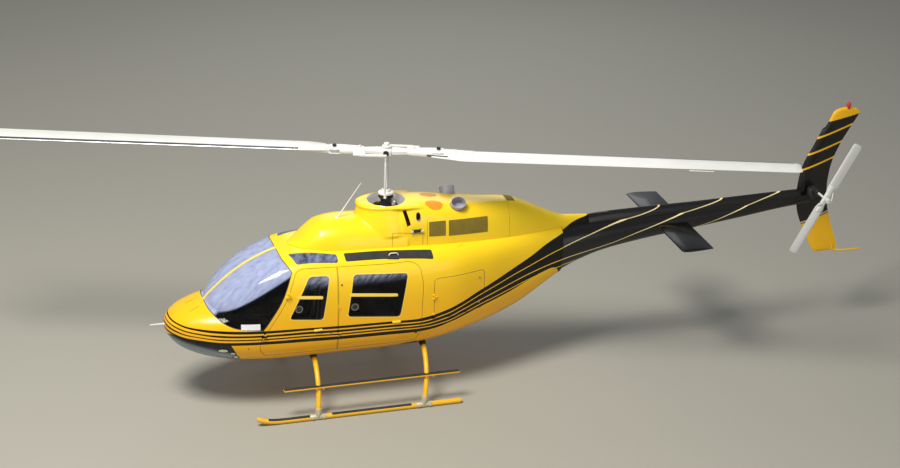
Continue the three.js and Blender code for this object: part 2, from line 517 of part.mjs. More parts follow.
add('mast_opening_ring', geometryOf(ring), 0xb8bbc0, 0.25, 0.9);
const fixedPlate = profile([[28.6, 1660], [62, 1660], [62, 1850], [150, 1862], [150, 1892], [28.6, 1892],
  [28.6, 1660]], MAST_X, 0, 20);
add('transmission', geometryOf(column(190, 1340, 1695, 20).subtract(clearHull).add(fixedPlate)
  .subtract(column(28.6, 1665, 1900, 20))), 0x55585c, 0.6, 0.5);
let engine = box(3260, 4120, -180, 180, 1290, 1560).subtract(clearHull);
both((_, s) => { engine = engine.add(stack(s, 79, -232, 85)); });
both((_, s) => { engine = engine.subtract(stack(s, 73, -60, 260)); });
add('engine', geometryOf(engine), 0x8d8f93, 0.5, 0.8);

// Landing gear
// A twelve sided tube with a flat underside on the ground: x, radius, height above the level run
const SKID_Z = GROUND + SKID_R * Math.cos(Math.PI / 12);
const skidRows = [[965, 20, 62], [975, 30, 57], [1010, SKID_R, 41], [1080, SKID_R, 20], [1180, SKID_R, 5],
  [1300, SKID_R, 0], [3560, SKID_R, 0], [3580, 24, 0]];
const skid = (s, grow) => loft(skidRows.map(([x, r, z]) => circle(12, (p) => [x,
  s * SKID_Y + (r + grow) * Math.cos(p), SKID_Z + z + (r + grow) * Math.sin(p)])));
for (const [name, x] of LEGS) {
  const tube = legTube(x, LEG_R).subtract(skid(-1, GAP)).subtract(skid(1, GAP));
  add(`cross_tube_${name}`, geometryOf(tube), YELLOW, 0.35, 0.1);
}
both((name, s) => {
  add(`skid_${name}`, geometryOf(skid(s, 0)), YELLOW, 0.35, 0.1);
  let step = box(1318, 3570, s < 0 ? -872 : 796, s < 0 ? -796 : 872, -240, -218);
  for (const [, x] of LEGS) step = step.subtract(legTube(x, LEG_R + GAP));
  add(`step_${name}`, geometryOf(step), YELLOW, 0.6, 0.1);
});

// Cabin furniture
const TOP = FLOOR_Z + 22 + GAP;
both((name, s) => {
  const seat = side(s, [[1420, 250], [1430, 375], [1480, 400], [1810, 385], [1900, 960], [1980, 975],
    [1990, 940], [1940, 240 + GAP], [1440, 240 + GAP]], 130);
  add(`front_seat_${name}`, geometryOf(seat.intersect(cabin).intersect(box(1400, 2200, -545, 545, 0, 1200))),
    0x3b3d42, 0.85, 0);
});
const bench = prism([[2590, 260], [2600, 395], [2650, 420], [2930, 400], [2990, 1000], [3060, 1020],
  [3105, 1000], [3100, 240 + GAP], [2610, 240 + GAP]], -545, 545);
add('rear_bench', geometryOf(bench.intersect(cabin)), 0x3b3d42, 0.85, 0);
const panel = prism([[860, 470], [820, 640], [845, 770], [905, 775], [960, 500]], -330, 330)
  .add(prism([[900, TOP], [880, 520], [950, 520], [1010, 440], [1330, 330], [1350, TOP]], -105, 105));
add('instrument_console', geometryOf(panel.intersect(cabin)), DARK, 0.7, 0);

// Whip antenna and pitot tube
const whip = bar([[2175, -50, 1663], [2479, -50, 2105]], 6, 8)
  .add(bar([[2165, -50, 1648], [2210, -50, 1715]], 15, 10));
add('whip_antenna', geometryOf(whip.subtract(hump(FAIRING, -GAP, 15))), WHITE, 0.4, 0.1);
const pitot = bar([[60, 0, 440], [-172, 0, 447]], 9, 10).subtract(clearHull);
add('pitot_tube', geometryOf(pitot), WHITE, 0.35, 0.3);

// The origin is under the middle of the whole, on the ground
const bounds = new THREE.Box3().setFromObject(root);
root.position.set(-(bounds.min.x + bounds.max.x) / 2, -(bounds.min.y + bounds.max.y) / 2, -bounds.min.z);
export default root;
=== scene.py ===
import math

import bpy
import numpy as np
from mathutils import Matrix, Vector


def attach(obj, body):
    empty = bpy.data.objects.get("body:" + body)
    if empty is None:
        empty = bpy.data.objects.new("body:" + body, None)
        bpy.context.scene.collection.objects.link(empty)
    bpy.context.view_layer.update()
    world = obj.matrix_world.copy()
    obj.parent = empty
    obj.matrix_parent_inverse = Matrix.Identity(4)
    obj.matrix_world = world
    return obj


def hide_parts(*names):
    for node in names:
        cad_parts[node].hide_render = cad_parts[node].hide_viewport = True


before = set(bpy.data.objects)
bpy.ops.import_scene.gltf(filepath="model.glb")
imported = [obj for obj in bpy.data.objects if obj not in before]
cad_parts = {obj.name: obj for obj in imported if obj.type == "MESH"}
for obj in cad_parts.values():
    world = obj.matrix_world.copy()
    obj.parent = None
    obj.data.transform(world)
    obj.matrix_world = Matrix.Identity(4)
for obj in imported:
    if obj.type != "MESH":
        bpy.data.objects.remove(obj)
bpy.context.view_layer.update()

# ---------------------------------------------------------------- hangar floor, light and camera
# A pale floor under the skids, broad overhead lights, and a camera where the picture was taken:
# from the port side, a little ahead and above, slightly rolled.
STATION_ZERO = Vector((-3.738987, 0.0, 0.620))    # nose tip and belly line, in the shared frame


def paint_colour(code):
    """Linear colour of a web colour code."""
    parts = [int(code[i:i + 2], 16) / 255 for i in (0, 2, 4)]
    return [c / 12.92 if c < 0.04045 else ((c + 0.055) / 1.055) ** 2.4 for c in parts] + [1]


class Reading:
    """A value that changes over a surface; sums on it add the Math nodes."""

    def __init__(self, finish, socket):
        self.finish, self.socket = finish, socket

    def sum(self, how, *values):
        return self.finish.node("Math", {"operation": how}, values)

    def __add__(self, other):
        return self.sum("ADD", self, other)

    def __sub__(self, other):
        return self.sum("SUBTRACT", self, other)

    def __rsub__(self, other):
        return self.sum("SUBTRACT", other, self)

    def __mul__(self, other):
        return self.sum("MULTIPLY", self, other)

    def __truediv__(self, other):
        return self.sum("DIVIDE", self, other)

    def __gt__(self, other):
        return self.sum("GREATER_THAN", self, other)

    def __lt__(self, other):
        return self.sum("LESS_THAN", self, other)

    def __abs__(self):
        return self.sum("ABSOLUTE", self)

    def within(self, low, high):
        return (self > low) * (self < high)

    def sine(self):
        return self.sum("SINE", self)

    __radd__, __rmul__ = __add__, __mul__


class Finish:
    """One finish: a Principled shader whose plain sockets are set and whose varying ones are wired."""

    def __init__(self, name, **plain):
        self.material = bpy.data.materials.new(name)
        self.material.use_nodes = True
        self.tree = self.material.node_tree
        self.shader = self.tree.nodes["Principled BSDF"]
        for socket, value in plain.items():
            self.shader.inputs[socket.replace("_", " ")].default_value = value

    def node(self, kind, settings=None, values=(), output=0):
        node = self.tree.nodes.new("ShaderNode" + kind)
        for key, value in (settings or {}).items():
            if key == "curve":
                line = node.mapping.curves[0]
                while len(line.points) < len(value):
                    line.points.new(0.5, 0.5)
                for point, place in zip(line.points, value):
                    point.location, point.handle_type = place, "AUTO_CLAMPED"
                node.mapping.update()
            else:
                setattr(node, key, value)
        named = values.items() if isinstance(values, dict) else enumerate(values)
        for place, value in named:
            if isinstance(value, Reading):
                self.tree.links.new(value.socket, node.inputs[place])
            elif value is not None:
                node.inputs[place].default_value = value
        return Reading(self, node.outputs[output])

    def place(self):
        """Stations of the point: x aft, y starboard, z up from the belly line."""
        spot = self.node("VectorMath", {"operation": "SUBTRACT"},
                         [self.node("TexCoord", output="Object"), STATION_ZERO])
        return spot, [self.node("SeparateXYZ", values=[spot], output=i) for i in range(3)]

    def noise(self, spot, scale, detail=3.0, stretch=None):
        if stretch:
            spot = self.node("VectorMath", {"operation": "MULTIPLY"}, [spot, stretch])
        return self.node("TexNoise", values={"Vector": spot, "Scale": scale, "Detail": detail},
                         output="Fac")

    def blend(self, share, one, other):
        one, other = (paint_colour(tone) if isinstance(tone, str) else tone for tone in (one, other))
        return self.node("Mix", {"data_type": "RGBA"}, {0: share, 6: one, 7: other}, 2)

    def wire(self, **links):
        for socket, value in links.items():
            self.tree.links.new(value.socket, self.shader.inputs[socket.replace("_", " ")])
        return self

    def raise_by(self, height, depth, strength=1.0):
        """Relief: height in shares of depth metres."""
        bump = self.node("Bump", values={"Strength": strength, "Distance": depth, "Height": height})
        return self.wire(Normal=bump)


def alone(*pieces):
    """Only these pieces selected, the first of them active."""
    bpy.ops.object.select_all(action="DESELECT")
    for piece in pieces:
        piece.select_set(True)
    if pieces:
        bpy.context.view_layer.objects.active = pieces[0]


def standing(spot, along, across, up):
    """The place of a part drawn at the origin, with its own three ways turned to these."""
    return Matrix.Translation(spot) @ Matrix((along, across, up)).transposed().to_4x4()


def named(piece, name):
    piece.name = piece.data.name = name
    return piece


alone()
bpy.ops.mesh.primitive_plane_add(size=160)
floor = bpy.context.object
floor.name = "floor"
concrete = Finish("floor paint", Base_Color=paint_colour("a3a096"), Roughness=0.75)
floor.data.materials.append(concrete.material)

azimuth, elevation, roll, away = math.radians(-17.66), math.radians(23.31), math.radians(1.68), 27.61
back = Vector((math.sin(azimuth) * math.cos(elevation), -math.cos(azimuth) * math.cos(elevation),
               math.sin(elevation)))
level = Vector((math.cos(azimuth), math.sin(azimuth), 0))
upward = back.cross(level)
right = math.cos(roll) * level + math.sin(roll) * upward
upward = math.cos(roll) * upward - math.sin(roll) * level
camera = bpy.data.objects.new("camera", bpy.data.cameras.new("camera"))
bpy.context.scene.collection.objects.link(camera)
camera.data.sensor_width, camera.data.lens, camera.data.clip_end = 36, 87.58, 400
aimed_at = Vector((3.66, 0, 1.28)) + STATION_ZERO
camera.matrix_world = standing(aimed_at + back * away, right, upward, back)
bpy.context.scene.camera = camera

sky = bpy.data.worlds.new("sky")
sky.use_nodes = True
for place, value in enumerate(((0.9, 0.95, 1, 1), 0.26)):
    sky.node_tree.nodes["Background"].inputs[place].default_value = value
bpy.context.scene.world = sky
bpy.context.scene.view_settings.view_transform = "Standard"
for name, spot, aim, size, watts, colour in (
        ("sun_panel", (-8, -6, 17), (0, 0, 1), 6, 4100, (1, 0.97, 0.9)),
        ("side_panel", (4, -18, 6), (0, 0, 1), 10, 420, (0.94, 0.97, 1)),
        ("far_panel", (4, 14, 9), (0, 0, 1), 9, 300, (0.92, 0.96, 1))):
    light = bpy.data.objects.new(name, bpy.data.lights.new(name, "AREA"))
    light.data.size, light.data.energy, light.data.color = size, watts, colour
    light.location = spot
    light.rotation_euler = (Vector(spot) - Vector(aim)).to_track_quat("Z", "Y").to_euler()
    bpy.context.scene.collection.objects.link(light)

# ---------------------------------------------------------------- cabin and fuselage skin
# Aluminium and fibreglass panels 30 mm thick over the frames, riveted and painted gloss yellow, with
# a band of three black-edged pinstripes. The hull is a family of squared ovals, one at each station.
HALF_WIDTH = [[0, 0], [.02, .11], [.05, .18], [.12, .275], [.2, .355], [.35, .44], [.5, .505], [.8, .59],
              [1.1, .635], [1.5, .66], [2, .665], [2.6, .665], [3.1, .655], [3.5, .62], [4, .49],
              [4.5, .345], [4.9, .27], [5.2, .235]]
KEEL = [[0, .44], [.02, .36], [.05, .3], [.15, .2], [.3, .12], [.5, .055], [.9, -.015], [1.4, -.04],
        [2.6, -.04], [3.2, -.01], [3.6, .05], [4, .12], [4.35, .22], [4.55, .3], [4.75, .42], [4.9, .52],
        [5.1, .65], [5.3, .75]]
NOSE_TOP = [[0, .44], [.02, .51], [.05, .555], [.15, .625], [.3, .685], [.5, .735], [.7, .765], [1, .79],
            [1.4, .8], [2, .8], [5.3, .8]]
CROWN = [[.42, .55], [.5, .725], [.65, .885], [.87, 1.065], [1.09, 1.2], [1.42, 1.33], [1.6, 1.37],
         [1.8, 1.385], [2.5, 1.385], [3, 1.365], [3.5, 1.34], [4.2, 1.31], [5.2, 1.28]]
BUBBLE = [[.42, .02], [.5, .15], [.55, .28], [.65, .44], [.8, .565], [1, .62], [1.2, .642], [1.5, .66],
          [2, .665], [2.6, .665], [3.1, .655], [3.5, .62], [4, .49], [4.5, .345], [4.9, .27], [5.2, .235]]
WIDEST = [[0, .44], [.3, .44], [1, .46], [3.2, .47], [4, .62], [4.5, .78], [5, .95], [5.2, .98]]


def fair_line(rows):
    """A smooth line through rows of station and offset, with no overshoot."""
    at, value = np.array(rows, float).T
    gap, slope = np.diff(at), np.diff(value) / np.diff(at)
    a, b = 2 * gap[1:] + gap[:-1], gap[1:] + 2 * gap[:-1]
    with np.errstate(divide="ignore", invalid="ignore"):
        inner = np.where(slope[:-1] * slope[1:] > 0, (a + b) / (a / slope[:-1] + b / slope[1:]), 0)
    lean = np.concatenate((slope[:1], inner, slope[-1:]))

    def read(x):
        i = np.clip(np.searchsorted(at, x) - 1, 0, len(gap) - 1)
        t = np.clip((x - at[i]) / gap[i], 0, 1)
        u = 1 - t
        return ((1 + 2 * t) * u * u * value[i] + t * u * u * gap[i] * lean[i]
                + t * t * (3 - 2 * t) * value[i + 1] - t * t * u * gap[i] * lean[i + 1])
    return read


def fair_columns(rows):
    """A smooth line for each column of the rows after their station."""
    return [fair_line([[row[0], row[k]] for row in rows]) for k in range(1, len(rows[0]))]


half_width, keel, nose_top, crown, bubble, widest = map(
    fair_line, (HALF_WIDTH, KEEL, NOSE_TOP, CROWN, BUBBLE, WIDEST))


def oval(across, up, wide, tall, power):
    return ((across / np.maximum(wide, 1e-6)) ** power
            + (up / np.maximum(tall, 1e-6)) ** power) ** (-1 / power)


def hull_reach(x, clock):
    across, up, z = np.abs(np.cos(clock)) + 1e-9, np.abs(np.sin(clock)) + 1e-9, widest(x)
    low = oval(across, up, half_width(x), z - keel(x), 2.8)
    nose = oval(across, up, half_width(x), np.maximum(nose_top(x) - z, .001), 2.4)
    power = 3.2 + 1.2 * np.clip((x - .45) / .9, 0, 1)
    top = oval(across, up, bubble(x), np.maximum(crown(x) - z, .001), power)
    return np.where(np.sin(clock) < 0, low, np.where(x < .43, nose, np.maximum(nose, top)))


def hull_surface(x, clock):
    reach = hull_reach(x, clock)
    return np.stack([x, reach * np.cos(clock), widest(x) + reach * np.sin(clock)], -1)


def hull_facing(x, clock, step=.0005):
    along = hull_surface(x + step, clock) - hull_surface(np.maximum(x - step, 0), clock)
    around = hull_surface(x, clock + step) - hull_surface(x, clock - step)
    facing = np.cross(around, along)
    size = np.linalg.norm(facing, axis=-1, keepdims=True)
    return np.where(size > 1e-12, facing / np.maximum(size, 1e-12), [-1, 0, 0])


def edit(piece, pick=None, kind="VERT"):
    """The piece alone in edit mode; pick chooses what is selected there."""
    if bpy.context.object and bpy.context.object.mode == "EDIT":
        bpy.ops.object.mode_set(mode="OBJECT")
    alone(piece)
    bpy.ops.object.mode_set(mode="EDIT")
    bpy.ops.mesh.select_mode(type=kind)
    bpy.ops.mesh.select_all(action="SELECT" if pick is None else "DESELECT")
    if pick is not None:
        bpy.ops.object.mode_set(mode="OBJECT")
        parts = {"VERT": piece.data.vertices, "EDGE": piece.data.edges, "FACE": piece.data.polygons}[kind]
        for part in parts:
            part.select = bool(pick(part))
        bpy.ops.object.mode_set(mode="EDIT")


def done():
    bpy.ops.object.mode_set(mode="OBJECT")


def apply(piece, kind, **settings):
    """One modifier, set and applied."""
    alone(piece)
    bpy.ops.object.modifier_add(type=kind)
    modifier = piece.modifiers[-1]
    for key, value in settings.items():
        setattr(modifier, key, value)
    bpy.ops.object.modifier_apply(modifier=modifier.name)
    return piece


def cut(piece, *tools, how="DIFFERENCE", keep=False):
    """The piece cut by, joined to or kept inside each tool body, which then goes unless kept."""
    for tool in tools:
        apply(piece, "BOOLEAN", object=tool, operation=how, solver="EXACT")
        if not keep:
            bpy.data.objects.remove(tool)
    return piece


def kept_inside(piece, *tools):
    return cut(piece, *tools, how="INTERSECT")


def settled(piece):
    """The piece at the origin, unturned, with its place in its mesh."""
    piece.data.transform(piece.matrix_world)
    piece.matrix_world = Matrix.Identity(4)
    return piece


def block(x0, x1, y0, y1, z0, z1):
    alone()
    bpy.ops.mesh.primitive_cube_add(size=1, location=((x0 + x1) / 2, (y0 + y1) / 2, (z0 + z1) / 2))
    tool = bpy.context.object
    edit(tool)
    bpy.ops.transform.resize(value=(abs(x1 - x0), abs(y1 - y0), abs(z1 - z0)))
    done()
    return settled(tool)


def slab(x0, x1, z0, z1):
    """A block that reaches past the hull on both sides."""
    return block(x0, x1, -1, 1, z0, z1)


PAST = .9    # a depth to either side that lies outside the hull


def sawn(outline, low=-PAST, high=PAST, way="y"):
    """A board with this outline in side view (x, z), or in plan (x, y), sawn out between two depths."""
    alone()
    bpy.ops.mesh.primitive_circle_add(vertices=len(outline), radius=1, fill_type="NGON")
    board = bpy.context.object
    for vertex, (u, v) in zip(board.data.vertices, outline):
        vertex.co = (u, low, v) if way == "y" else (u, v, low)
    edit(board)
    move = (0, high - low, 0) if way == "y" else (0, 0, high - low)
    bpy.ops.mesh.extrude_region_move(TRANSFORM_OT_translate={"value": move})
    bpy.ops.mesh.select_all(action="SELECT")
    bpy.ops.mesh.normals_make_consistent(inside=False)
    done()
    return board


def flowing(points, steps=5):
    """An easy curve through drawn points."""
    p = np.array(points, float)
    h = np.linalg.norm(np.diff(p, axis=0), axis=1)[:, None]
    s = np.diff(p, axis=0) / h
    m = np.concatenate((s[:1], (h[1:] * s[:-1] + h[:-1] * s[1:]) / (h[1:] + h[:-1]), s[-1:]))
    t = (np.arange(steps) / steps)[None, :, None]
    u = 1 - t
    run = ((1 + 2 * t) * u * u * p[:-1, None] + t * u * u * h[:, None] * m[:-1, None]
           + t * t * (3 - 2 * t) * p[1:, None] - t * t * u * h[:, None] * m[1:, None])
    return [*run.reshape(-1, p.shape[1]).tolist(), list(points[-1])]


def rounded(rows, radius, steps=6):
    """The outline with each corner turned on an easy curve."""
    made = []
    for i, corner in enumerate(rows):
        c = Vector(corner)
        ends = []
        for other in (rows[i - 1], rows[(i + 1) % len(rows)]):
            way = Vector(other) - c
            ends.append(c + way * min(radius, way.length * .45) / way.length)
        for k in range(steps + 1):
            t = k / steps
            made.append(list(ends[0] * (1 - t) ** 2 + c * 2 * t * (1 - t) + ends[1] * t * t))
    return made


def drawn_in(rows, d):
    """The outline moved inwards all round."""
    p = np.array(rows, float)
    after = np.roll(p, -1, 0)
    area = (p[:, 0] * after[:, 1] - after[:, 0] * p[:, 1]).sum()
    way = after - p
    way /= np.linalg.norm(way, axis=1)[:, None]
    side = np.stack([-way[:, 1], way[:, 0]], 1) * (d if area > 0 else -d)
    before_way, before_side = np.roll(way, 1, 0), np.roll(side, 1, 0)
    turn = before_way[:, 0] * way[:, 1] - before_way[:, 1] * way[:, 0]
    start, other = p + before_side, p + side
    gap = other - start
    with np.errstate(divide="ignore", invalid="ignore"):
        t = (gap[:, 0] * way[:, 1] - gap[:, 1] * way[:, 0]) / turn
    met = start + before_way * t[:, None]
    return np.where(np.abs(turn)[:, None] < 1e-4, other, met).tolist()


def points(piece):
    at = np.zeros(len(piece.data.vertices) * 3)
    piece.data.vertices.foreach_get("co", at)
    return at.reshape(-1, 3)


def move_points(piece, at):
    piece.data.vertices.foreach_set("co", np.asarray(at).ravel())


def net(name, columns, rows):
    """A grid of so many faces each way, with the column and the row of each of its points."""
    alone()
    bpy.ops.mesh.primitive_grid_add(x_subdivisions=columns, y_subdivisions=rows, size=2)
    sheet = named(bpy.context.object, name)
    share = (points(sheet) + 1) / 2
    return sheet, *(np.rint(share[:, k] * count).astype(int) for k, count in ((0, columns), (1, rows)))


WALL = .03    # the full thickness of a panel


def formed_skin(name, stations, clock, depth=0.0, wall=WALL):
    """A sheet formed to the hull between two stations and two clock angles, with its wall inside."""
    sheet, i, j = net(name, len(stations) - 1, len(clock) - 1)
    x, turn = np.array(stations)[i], np.radians(np.array(clock, float))[j]
    move_points(sheet, hull_surface(x, turn) - depth * hull_facing(x, turn))
    edit(sheet)
    bpy.ops.mesh.remove_doubles(threshold=1e-5)
    done()
    face = sheet.data.polygons[len(sheet.data.polygons) // 2]
    c = face.center
    outward = hull_facing(np.array([c.x]), np.array([math.atan2(c.z - float(widest(c.x)), c.y)]))[0]
    if face.normal.dot(Vector(outward)) < 0:
        edit(sheet)
        bpy.ops.mesh.flip_normals()
        done()
    return apply(sheet, "SOLIDIFY", thickness=wall, offset=-1, use_even_offset=True,
                 use_quality_normals=True)


def smooth(piece, angle=35):
    alone(piece)
    bpy.ops.object.shade_smooth_by_angle(angle=math.radians(angle))
    return piece


def gloss(piece, depth=0.0):
    """Smooth shading, with the outer faces lit as the true hull there."""
    mesh = smooth(piece).data
    centres, facing = np.zeros((2, len(mesh.polygons) * 3))
    mesh.polygons.foreach_get("center", centres)
    mesh.polygons.foreach_get("normal", facing)
    centres, facing = centres.reshape(-1, 3), facing.reshape(-1, 3)

    def true_facing(at):
        rise = at[:, 2] - widest(at[:, 0])
        turn = np.arctan2(rise, at[:, 1])
        normal = hull_facing(np.maximum(at[:, 0], .001), turn)
        arm = np.stack([0 * turn, np.cos(turn), np.sin(turn)], -1)
        reach = hull_reach(np.maximum(at[:, 0], .001), turn)
        off = (np.hypot(rise, at[:, 1]) - reach) * (normal * arm).sum(1)
        return normal, off
    normal, off = true_facing(centres)
    outer = ((normal * facing).sum(1) > .93) & (np.abs(off + depth) < .0025)
    owner = np.repeat(np.arange(len(mesh.polygons)), [p.loop_total for p in mesh.polygons])
    corner = np.zeros(len(mesh.loops), int)
    mesh.loops.foreach_get("vertex_index", corner)
    normal, _ = true_facing(points(piece))
    wanted = np.where(outer[owner][:, None], normal[corner], 0)
    mesh.normals_split_custom_set(wanted.tolist())
    return outer


def fit(piece, body, *finishes, nodes=()):
    """The piece set down in the shared frame with its finishes; it rides on its body."""
    piece.data.transform(Matrix.Translation(STATION_ZERO))
    for finish in finishes:
        if finish.material.name not in piece.data.materials:
            piece.data.materials.append(finish.material)
    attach(piece, body)
    if nodes:
        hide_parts(*nodes)
    return piece


# Side view outlines of the panels, in station and height
WIND_LOW = [[.44, .83], [.48, .752], [.497, .722], [.545, .678], [.638, .611], [.764, .555], [.95, .524],
            [1.118, .513]]
WIND_AFT = [[1.18, .6], [1.337, .859], [1.47, 1.18], [1.494, 1.232], [1.426, 1.311], [1.394, 1.323],
            [1.38, 1.42]]
WIND = (flowing(WIND_LOW, 4) + flowing(WIND_AFT[:3], 4) + rounded(WIND_AFT[2:6], .03, 4)[5:15]
        + [[1.38, 1.42], [.44, 1.42]])
FRONT_EDGE = (flowing([[1.14, .147], [1.075, .25], [1.085, .38], [1.165, .5], [1.382, .859],
                       [1.517, 1.196]], 5)
              + flowing([[1.545, 1.232], [1.6, 1.252], [1.66, 1.256], [1.741, 1.256]], 3))
REAR_EDGE = flowing([[2.584, 1.23], [2.8, 1.225], [3.019, 1.208], [3.09, 1.148], [3.117, 1.043],
                     [3.122, .6], [3.118, .42], [3.1, .27], [3.05, .147]], 5)
FRONT_OUT = FRONT_EDGE + [[2.043, 1.248], [2.043, .147]]
REAR_OUT = [[2.047, 1.248]] + REAR_EDGE + [[2.047, .147]]
OPENING = FRONT_EDGE + REAR_EDGE
CHIN = rounded([[.028, .36], [.05, .392], [.14, .376], [.3, .362], [.52, .345], [.726, .335], [.77, .25],
                [.88, .04], [.6, -.06], [.3, .06], [.1, .16], [.04, .28]], .02, 3)
SKYLIGHT = rounded([[1.497, .286], [2.073, .435], [2.07, .542], [1.555, .503]], .03)
BAGGAGE = rounded([[3.275, .42], [3.275, .98], [3.975, .98], [3.975, .466]], .06)
FRONT_WINDOW = rounded([[1.687, 1.172], [1.944, 1.158], [1.857, .59], [1.429, .638]], .055)
REAR_WINDOW = rounded([[2.242, 1.146], [2.938, 1.098], [2.838, .524], [2.16, .598]], .055)

# The pinstripe band: its two edges and the middles of its three yellow lines, as heights by station
BAND_LENGTH, BAND_HEIGHT = 8.8, 1.6
BAND_TOP = [[0, .592], [.04, .577], [.09, .5605], [.15, .549], [.257, .537], [.37, .5305], [.61, .5225],
            [1.07, .512], [1.58, .506], [2.06, .49], [2.77, .474], [3.02, .466], [3.2, .482], [3.37, .515],
            [3.68, .612], [3.85, .68], [4.09, .768], [4.34, .868], [4.64, 1.005], [4.89, 1.15],
            [5.12, 1.25], [5.4, 1.36], [8.8, 1.55]]
BAND_LOW = [[0, .41], [.03, .4], [.14, .376], [.35, .352], [.61, .328], [1.1, .327], [1.58, .319],
            [2.06, .303], [2.77, .289], [3.0, .282], [3.25, .297], [3.53, .363], [3.86, .455], [4.1, .513],
            [4.36, .58], [4.6, .668], [4.88, .77], [4.98, .79], [5.08, .6], [5.2, .2], [8.8, .1]]
LINES = [
    [[0, .556], [.04, .542], [.09, .527], [.15, .515], [.255, .5], [.37, .489], [.61, .476], [1.07, .466],
     [1.58, .465], [2.06, .447], [2.77, .433], [3.07, .421], [3.37, .463], [3.68, .556], [3.85, .618],
     [4.35, .781], [4.6, .865], [5.1, 1.05], [5.476, 1.171], [5.806, 1.252], [6.12, 1.3], [6.4, 1.37],
     [6.6, 1.44], [8.8, 1.59]],
    [[0, .512], [.04, .496], [.09, .479], [.15, .466], [.255, .452], [.37, .441], [.61, .4235],
     [1.07, .418], [1.58, .414], [2.06, .397], [2.77, .386], [3.07, .377], [3.37, .409], [3.68, .497],
     [3.85, .548], [4.35, .684], [4.68, .78], [5.1, .885], [5.718, 1.003], [6.175, 1.132], [6.679, 1.263],
     [7, 1.33], [7.3, 1.4], [7.5, 1.46], [8.8, 1.59]],
    [[0, .452], [.04, .438], [.09, .425], [.15, .416], [.255, .4065], [.37, .399], [.61, .3805],
     [1.07, .378], [1.58, .375], [2.06, .358], [2.77, .347], [3.07, .336], [3.37, .36], [3.68, .44],
     [3.85, .489], [4.35, .61], [4.81, .735], [5.1, .79], [5.6, .85], [6.4, .955], [7.01, 1.09],
     [7.577, 1.265], [8.1, 1.42], [8.8, 1.59]]]
LINE_HALF = [[0, .016], [.15, .0158], [.35, .0148], [.61, .0125], [1.07, .0106], [2, .0092], [2.9, .008],
             [3.3, .0066], [3.7, .006], [8.8, .006]]


def band(finish, spot):
    """1 in the black of the pinstripe band, 0 in the yellow."""
    x, _, z = spot

    def line(rows, tall=BAND_HEIGHT):
        share = finish.node("FloatCurve", {"curve": [(a / BAND_LENGTH, b / tall) for a, b in rows]},
                            {"Factor": 1.0, "Value": x / BAND_LENGTH})
        return share * tall
    black = (z < line(BAND_TOP)) * (z > line(BAND_LOW))
    half = line(LINE_HALF, .1)
    for rows in LINES:
        black = black * (abs(z - line(rows)) > half)
    return black


def enamel(name, colour, low, striped=False, deep="e0a000"):
    """Gloss enamel: deeper in tone low down, a painted shade, with faint clouds, brown streaks underneath,
    and the slight waves of hand-laid panels."""
    finish = Finish(name, Coat_Roughness=.08, IOR=1.42)
    spot, (x, y, z) = finish.place()
    cloud = finish.noise(spot, 2.2, 4)
    # Painted shade: the colour runs from the deeper low tone near the belly line to the full tone high up,
    # standing for the shade on the lower hull.
    height = finish.node("MapRange", {"interpolation_type": "SMOOTHSTEP"},
                         {0: z, 1: .2, 2: 1.45, 3: 0.0, 4: 1.0})
    coat = finish.blend(height, low, colour)
    coat = finish.blend(cloud * .16, coat, deep)
    # Brown streaks of noise, darker and rougher towards the belly.
    belly_streaks = finish.noise(spot, 9, 6, (1, 1, 3)) * finish.node(
        "MapRange", {}, {0: z, 1: .25, 2: -.1, 3: 0.0, 4: .22})
    coat = finish.blend(belly_streaks, coat, "8a5a10")
    wear = finish.noise(spot, 40, 5)
    shine = .2 + cloud * .1
    if striped:
        stripe = band(finish, (x, y, z))
        coat = finish.blend(stripe, coat, "050302")
        shine = shine * (1 - stripe * .8)
    finish.wire(Base_Color=coat, Roughness=.24 + wear * .16 + belly_streaks * .3, Coat_Weight=shine)
    finish.raise_by(finish.noise(spot, 5.5, 1) + finish.noise(spot, 60, 2) * .05, .0012, .5)
    return finish


def mottled(name, one, other, scale, detail=3.0, stretch=None, share=None, rough=None, relief=None,
            **plain):
    """A finish that drifts between two colours; its roughness may follow, and a fine grain stand up."""
    finish = Finish(name, **plain)
    spot, _ = finish.place()
    drift = finish.noise(spot, scale, detail, stretch)
    tone = drift * share if share else drift
    finish.wire(Base_Color=finish.blend(tone, one, other))
    if rough:
        finish.wire(Roughness=rough[0] + drift * rough[1])
    if relief:
        *grain, depth, strength = relief
        finish.raise_by(finish.noise(spot, *grain), depth, strength)
    return finish


yellow = enamel("yellow_enamel", "ffd91c", "fcb504", striped=True, deep="f3b204")
lining = mottled("cabin_lining", "6e6e72", "84838a", 30, relief=(350, 2, .0004, .4), Roughness=.8)


def skin_on(piece, body, *nodes):
    """A panel of the hull: yellow outside, lined on every face that isn't the outer skin."""
    outer = gloss(piece)
    for finish in (yellow, lining):
        piece.data.materials.append(finish.material)
    piece.data.polygons.foreach_set("material_index", np.where(outer, 0, 1).astype(np.int32))
    return fit(piece, body, nodes=nodes)


def fasten(piece, finish, *nodes, body="airframe", angle=35):
    """A part of one finish, smoothed and set down."""
    return fit(smooth(piece, angle), body, finish, nodes=nodes)


def copy_of(piece, name):
    twin = piece.copy()
    twin.data = piece.data.copy()
    bpy.context.scene.collection.objects.link(twin)
    return named(twin, name)


def pair(left):
    """The port piece and its mirror image, which has its own mesh, each with its side."""
    twin = copy_of(left, left.name.replace("left", "right"))
    twin.data.transform(Matrix.Scale(-1, 4, (0, 1, 0)))
    twin.data.flip_normals()
    return (left, "left"), (twin, "right")


def span(start, end, step):
    return list(np.linspace(start, end, max(2, int(round((end - start) / step)) + 1)))


full_turn = span(0, 360, 2)
nose_stations = ([0, .0015, .004, .008, .014, .021] + span(.03, .42, .015) + span(.43, .92, .01)
                 + span(.94, 1.2, .02))
nose = formed_skin("nose_skin", nose_stations, full_turn)
cut(nose, slab(1.16, 1.5, -1, 2), slab(1, 1.5, -1, .147), sawn(WIND), sawn(OPENING),
    sawn(CHIN, -PAST, -.045), sawn(CHIN, .045, PAST))
skin_on(nose, "airframe", "nose_shell")

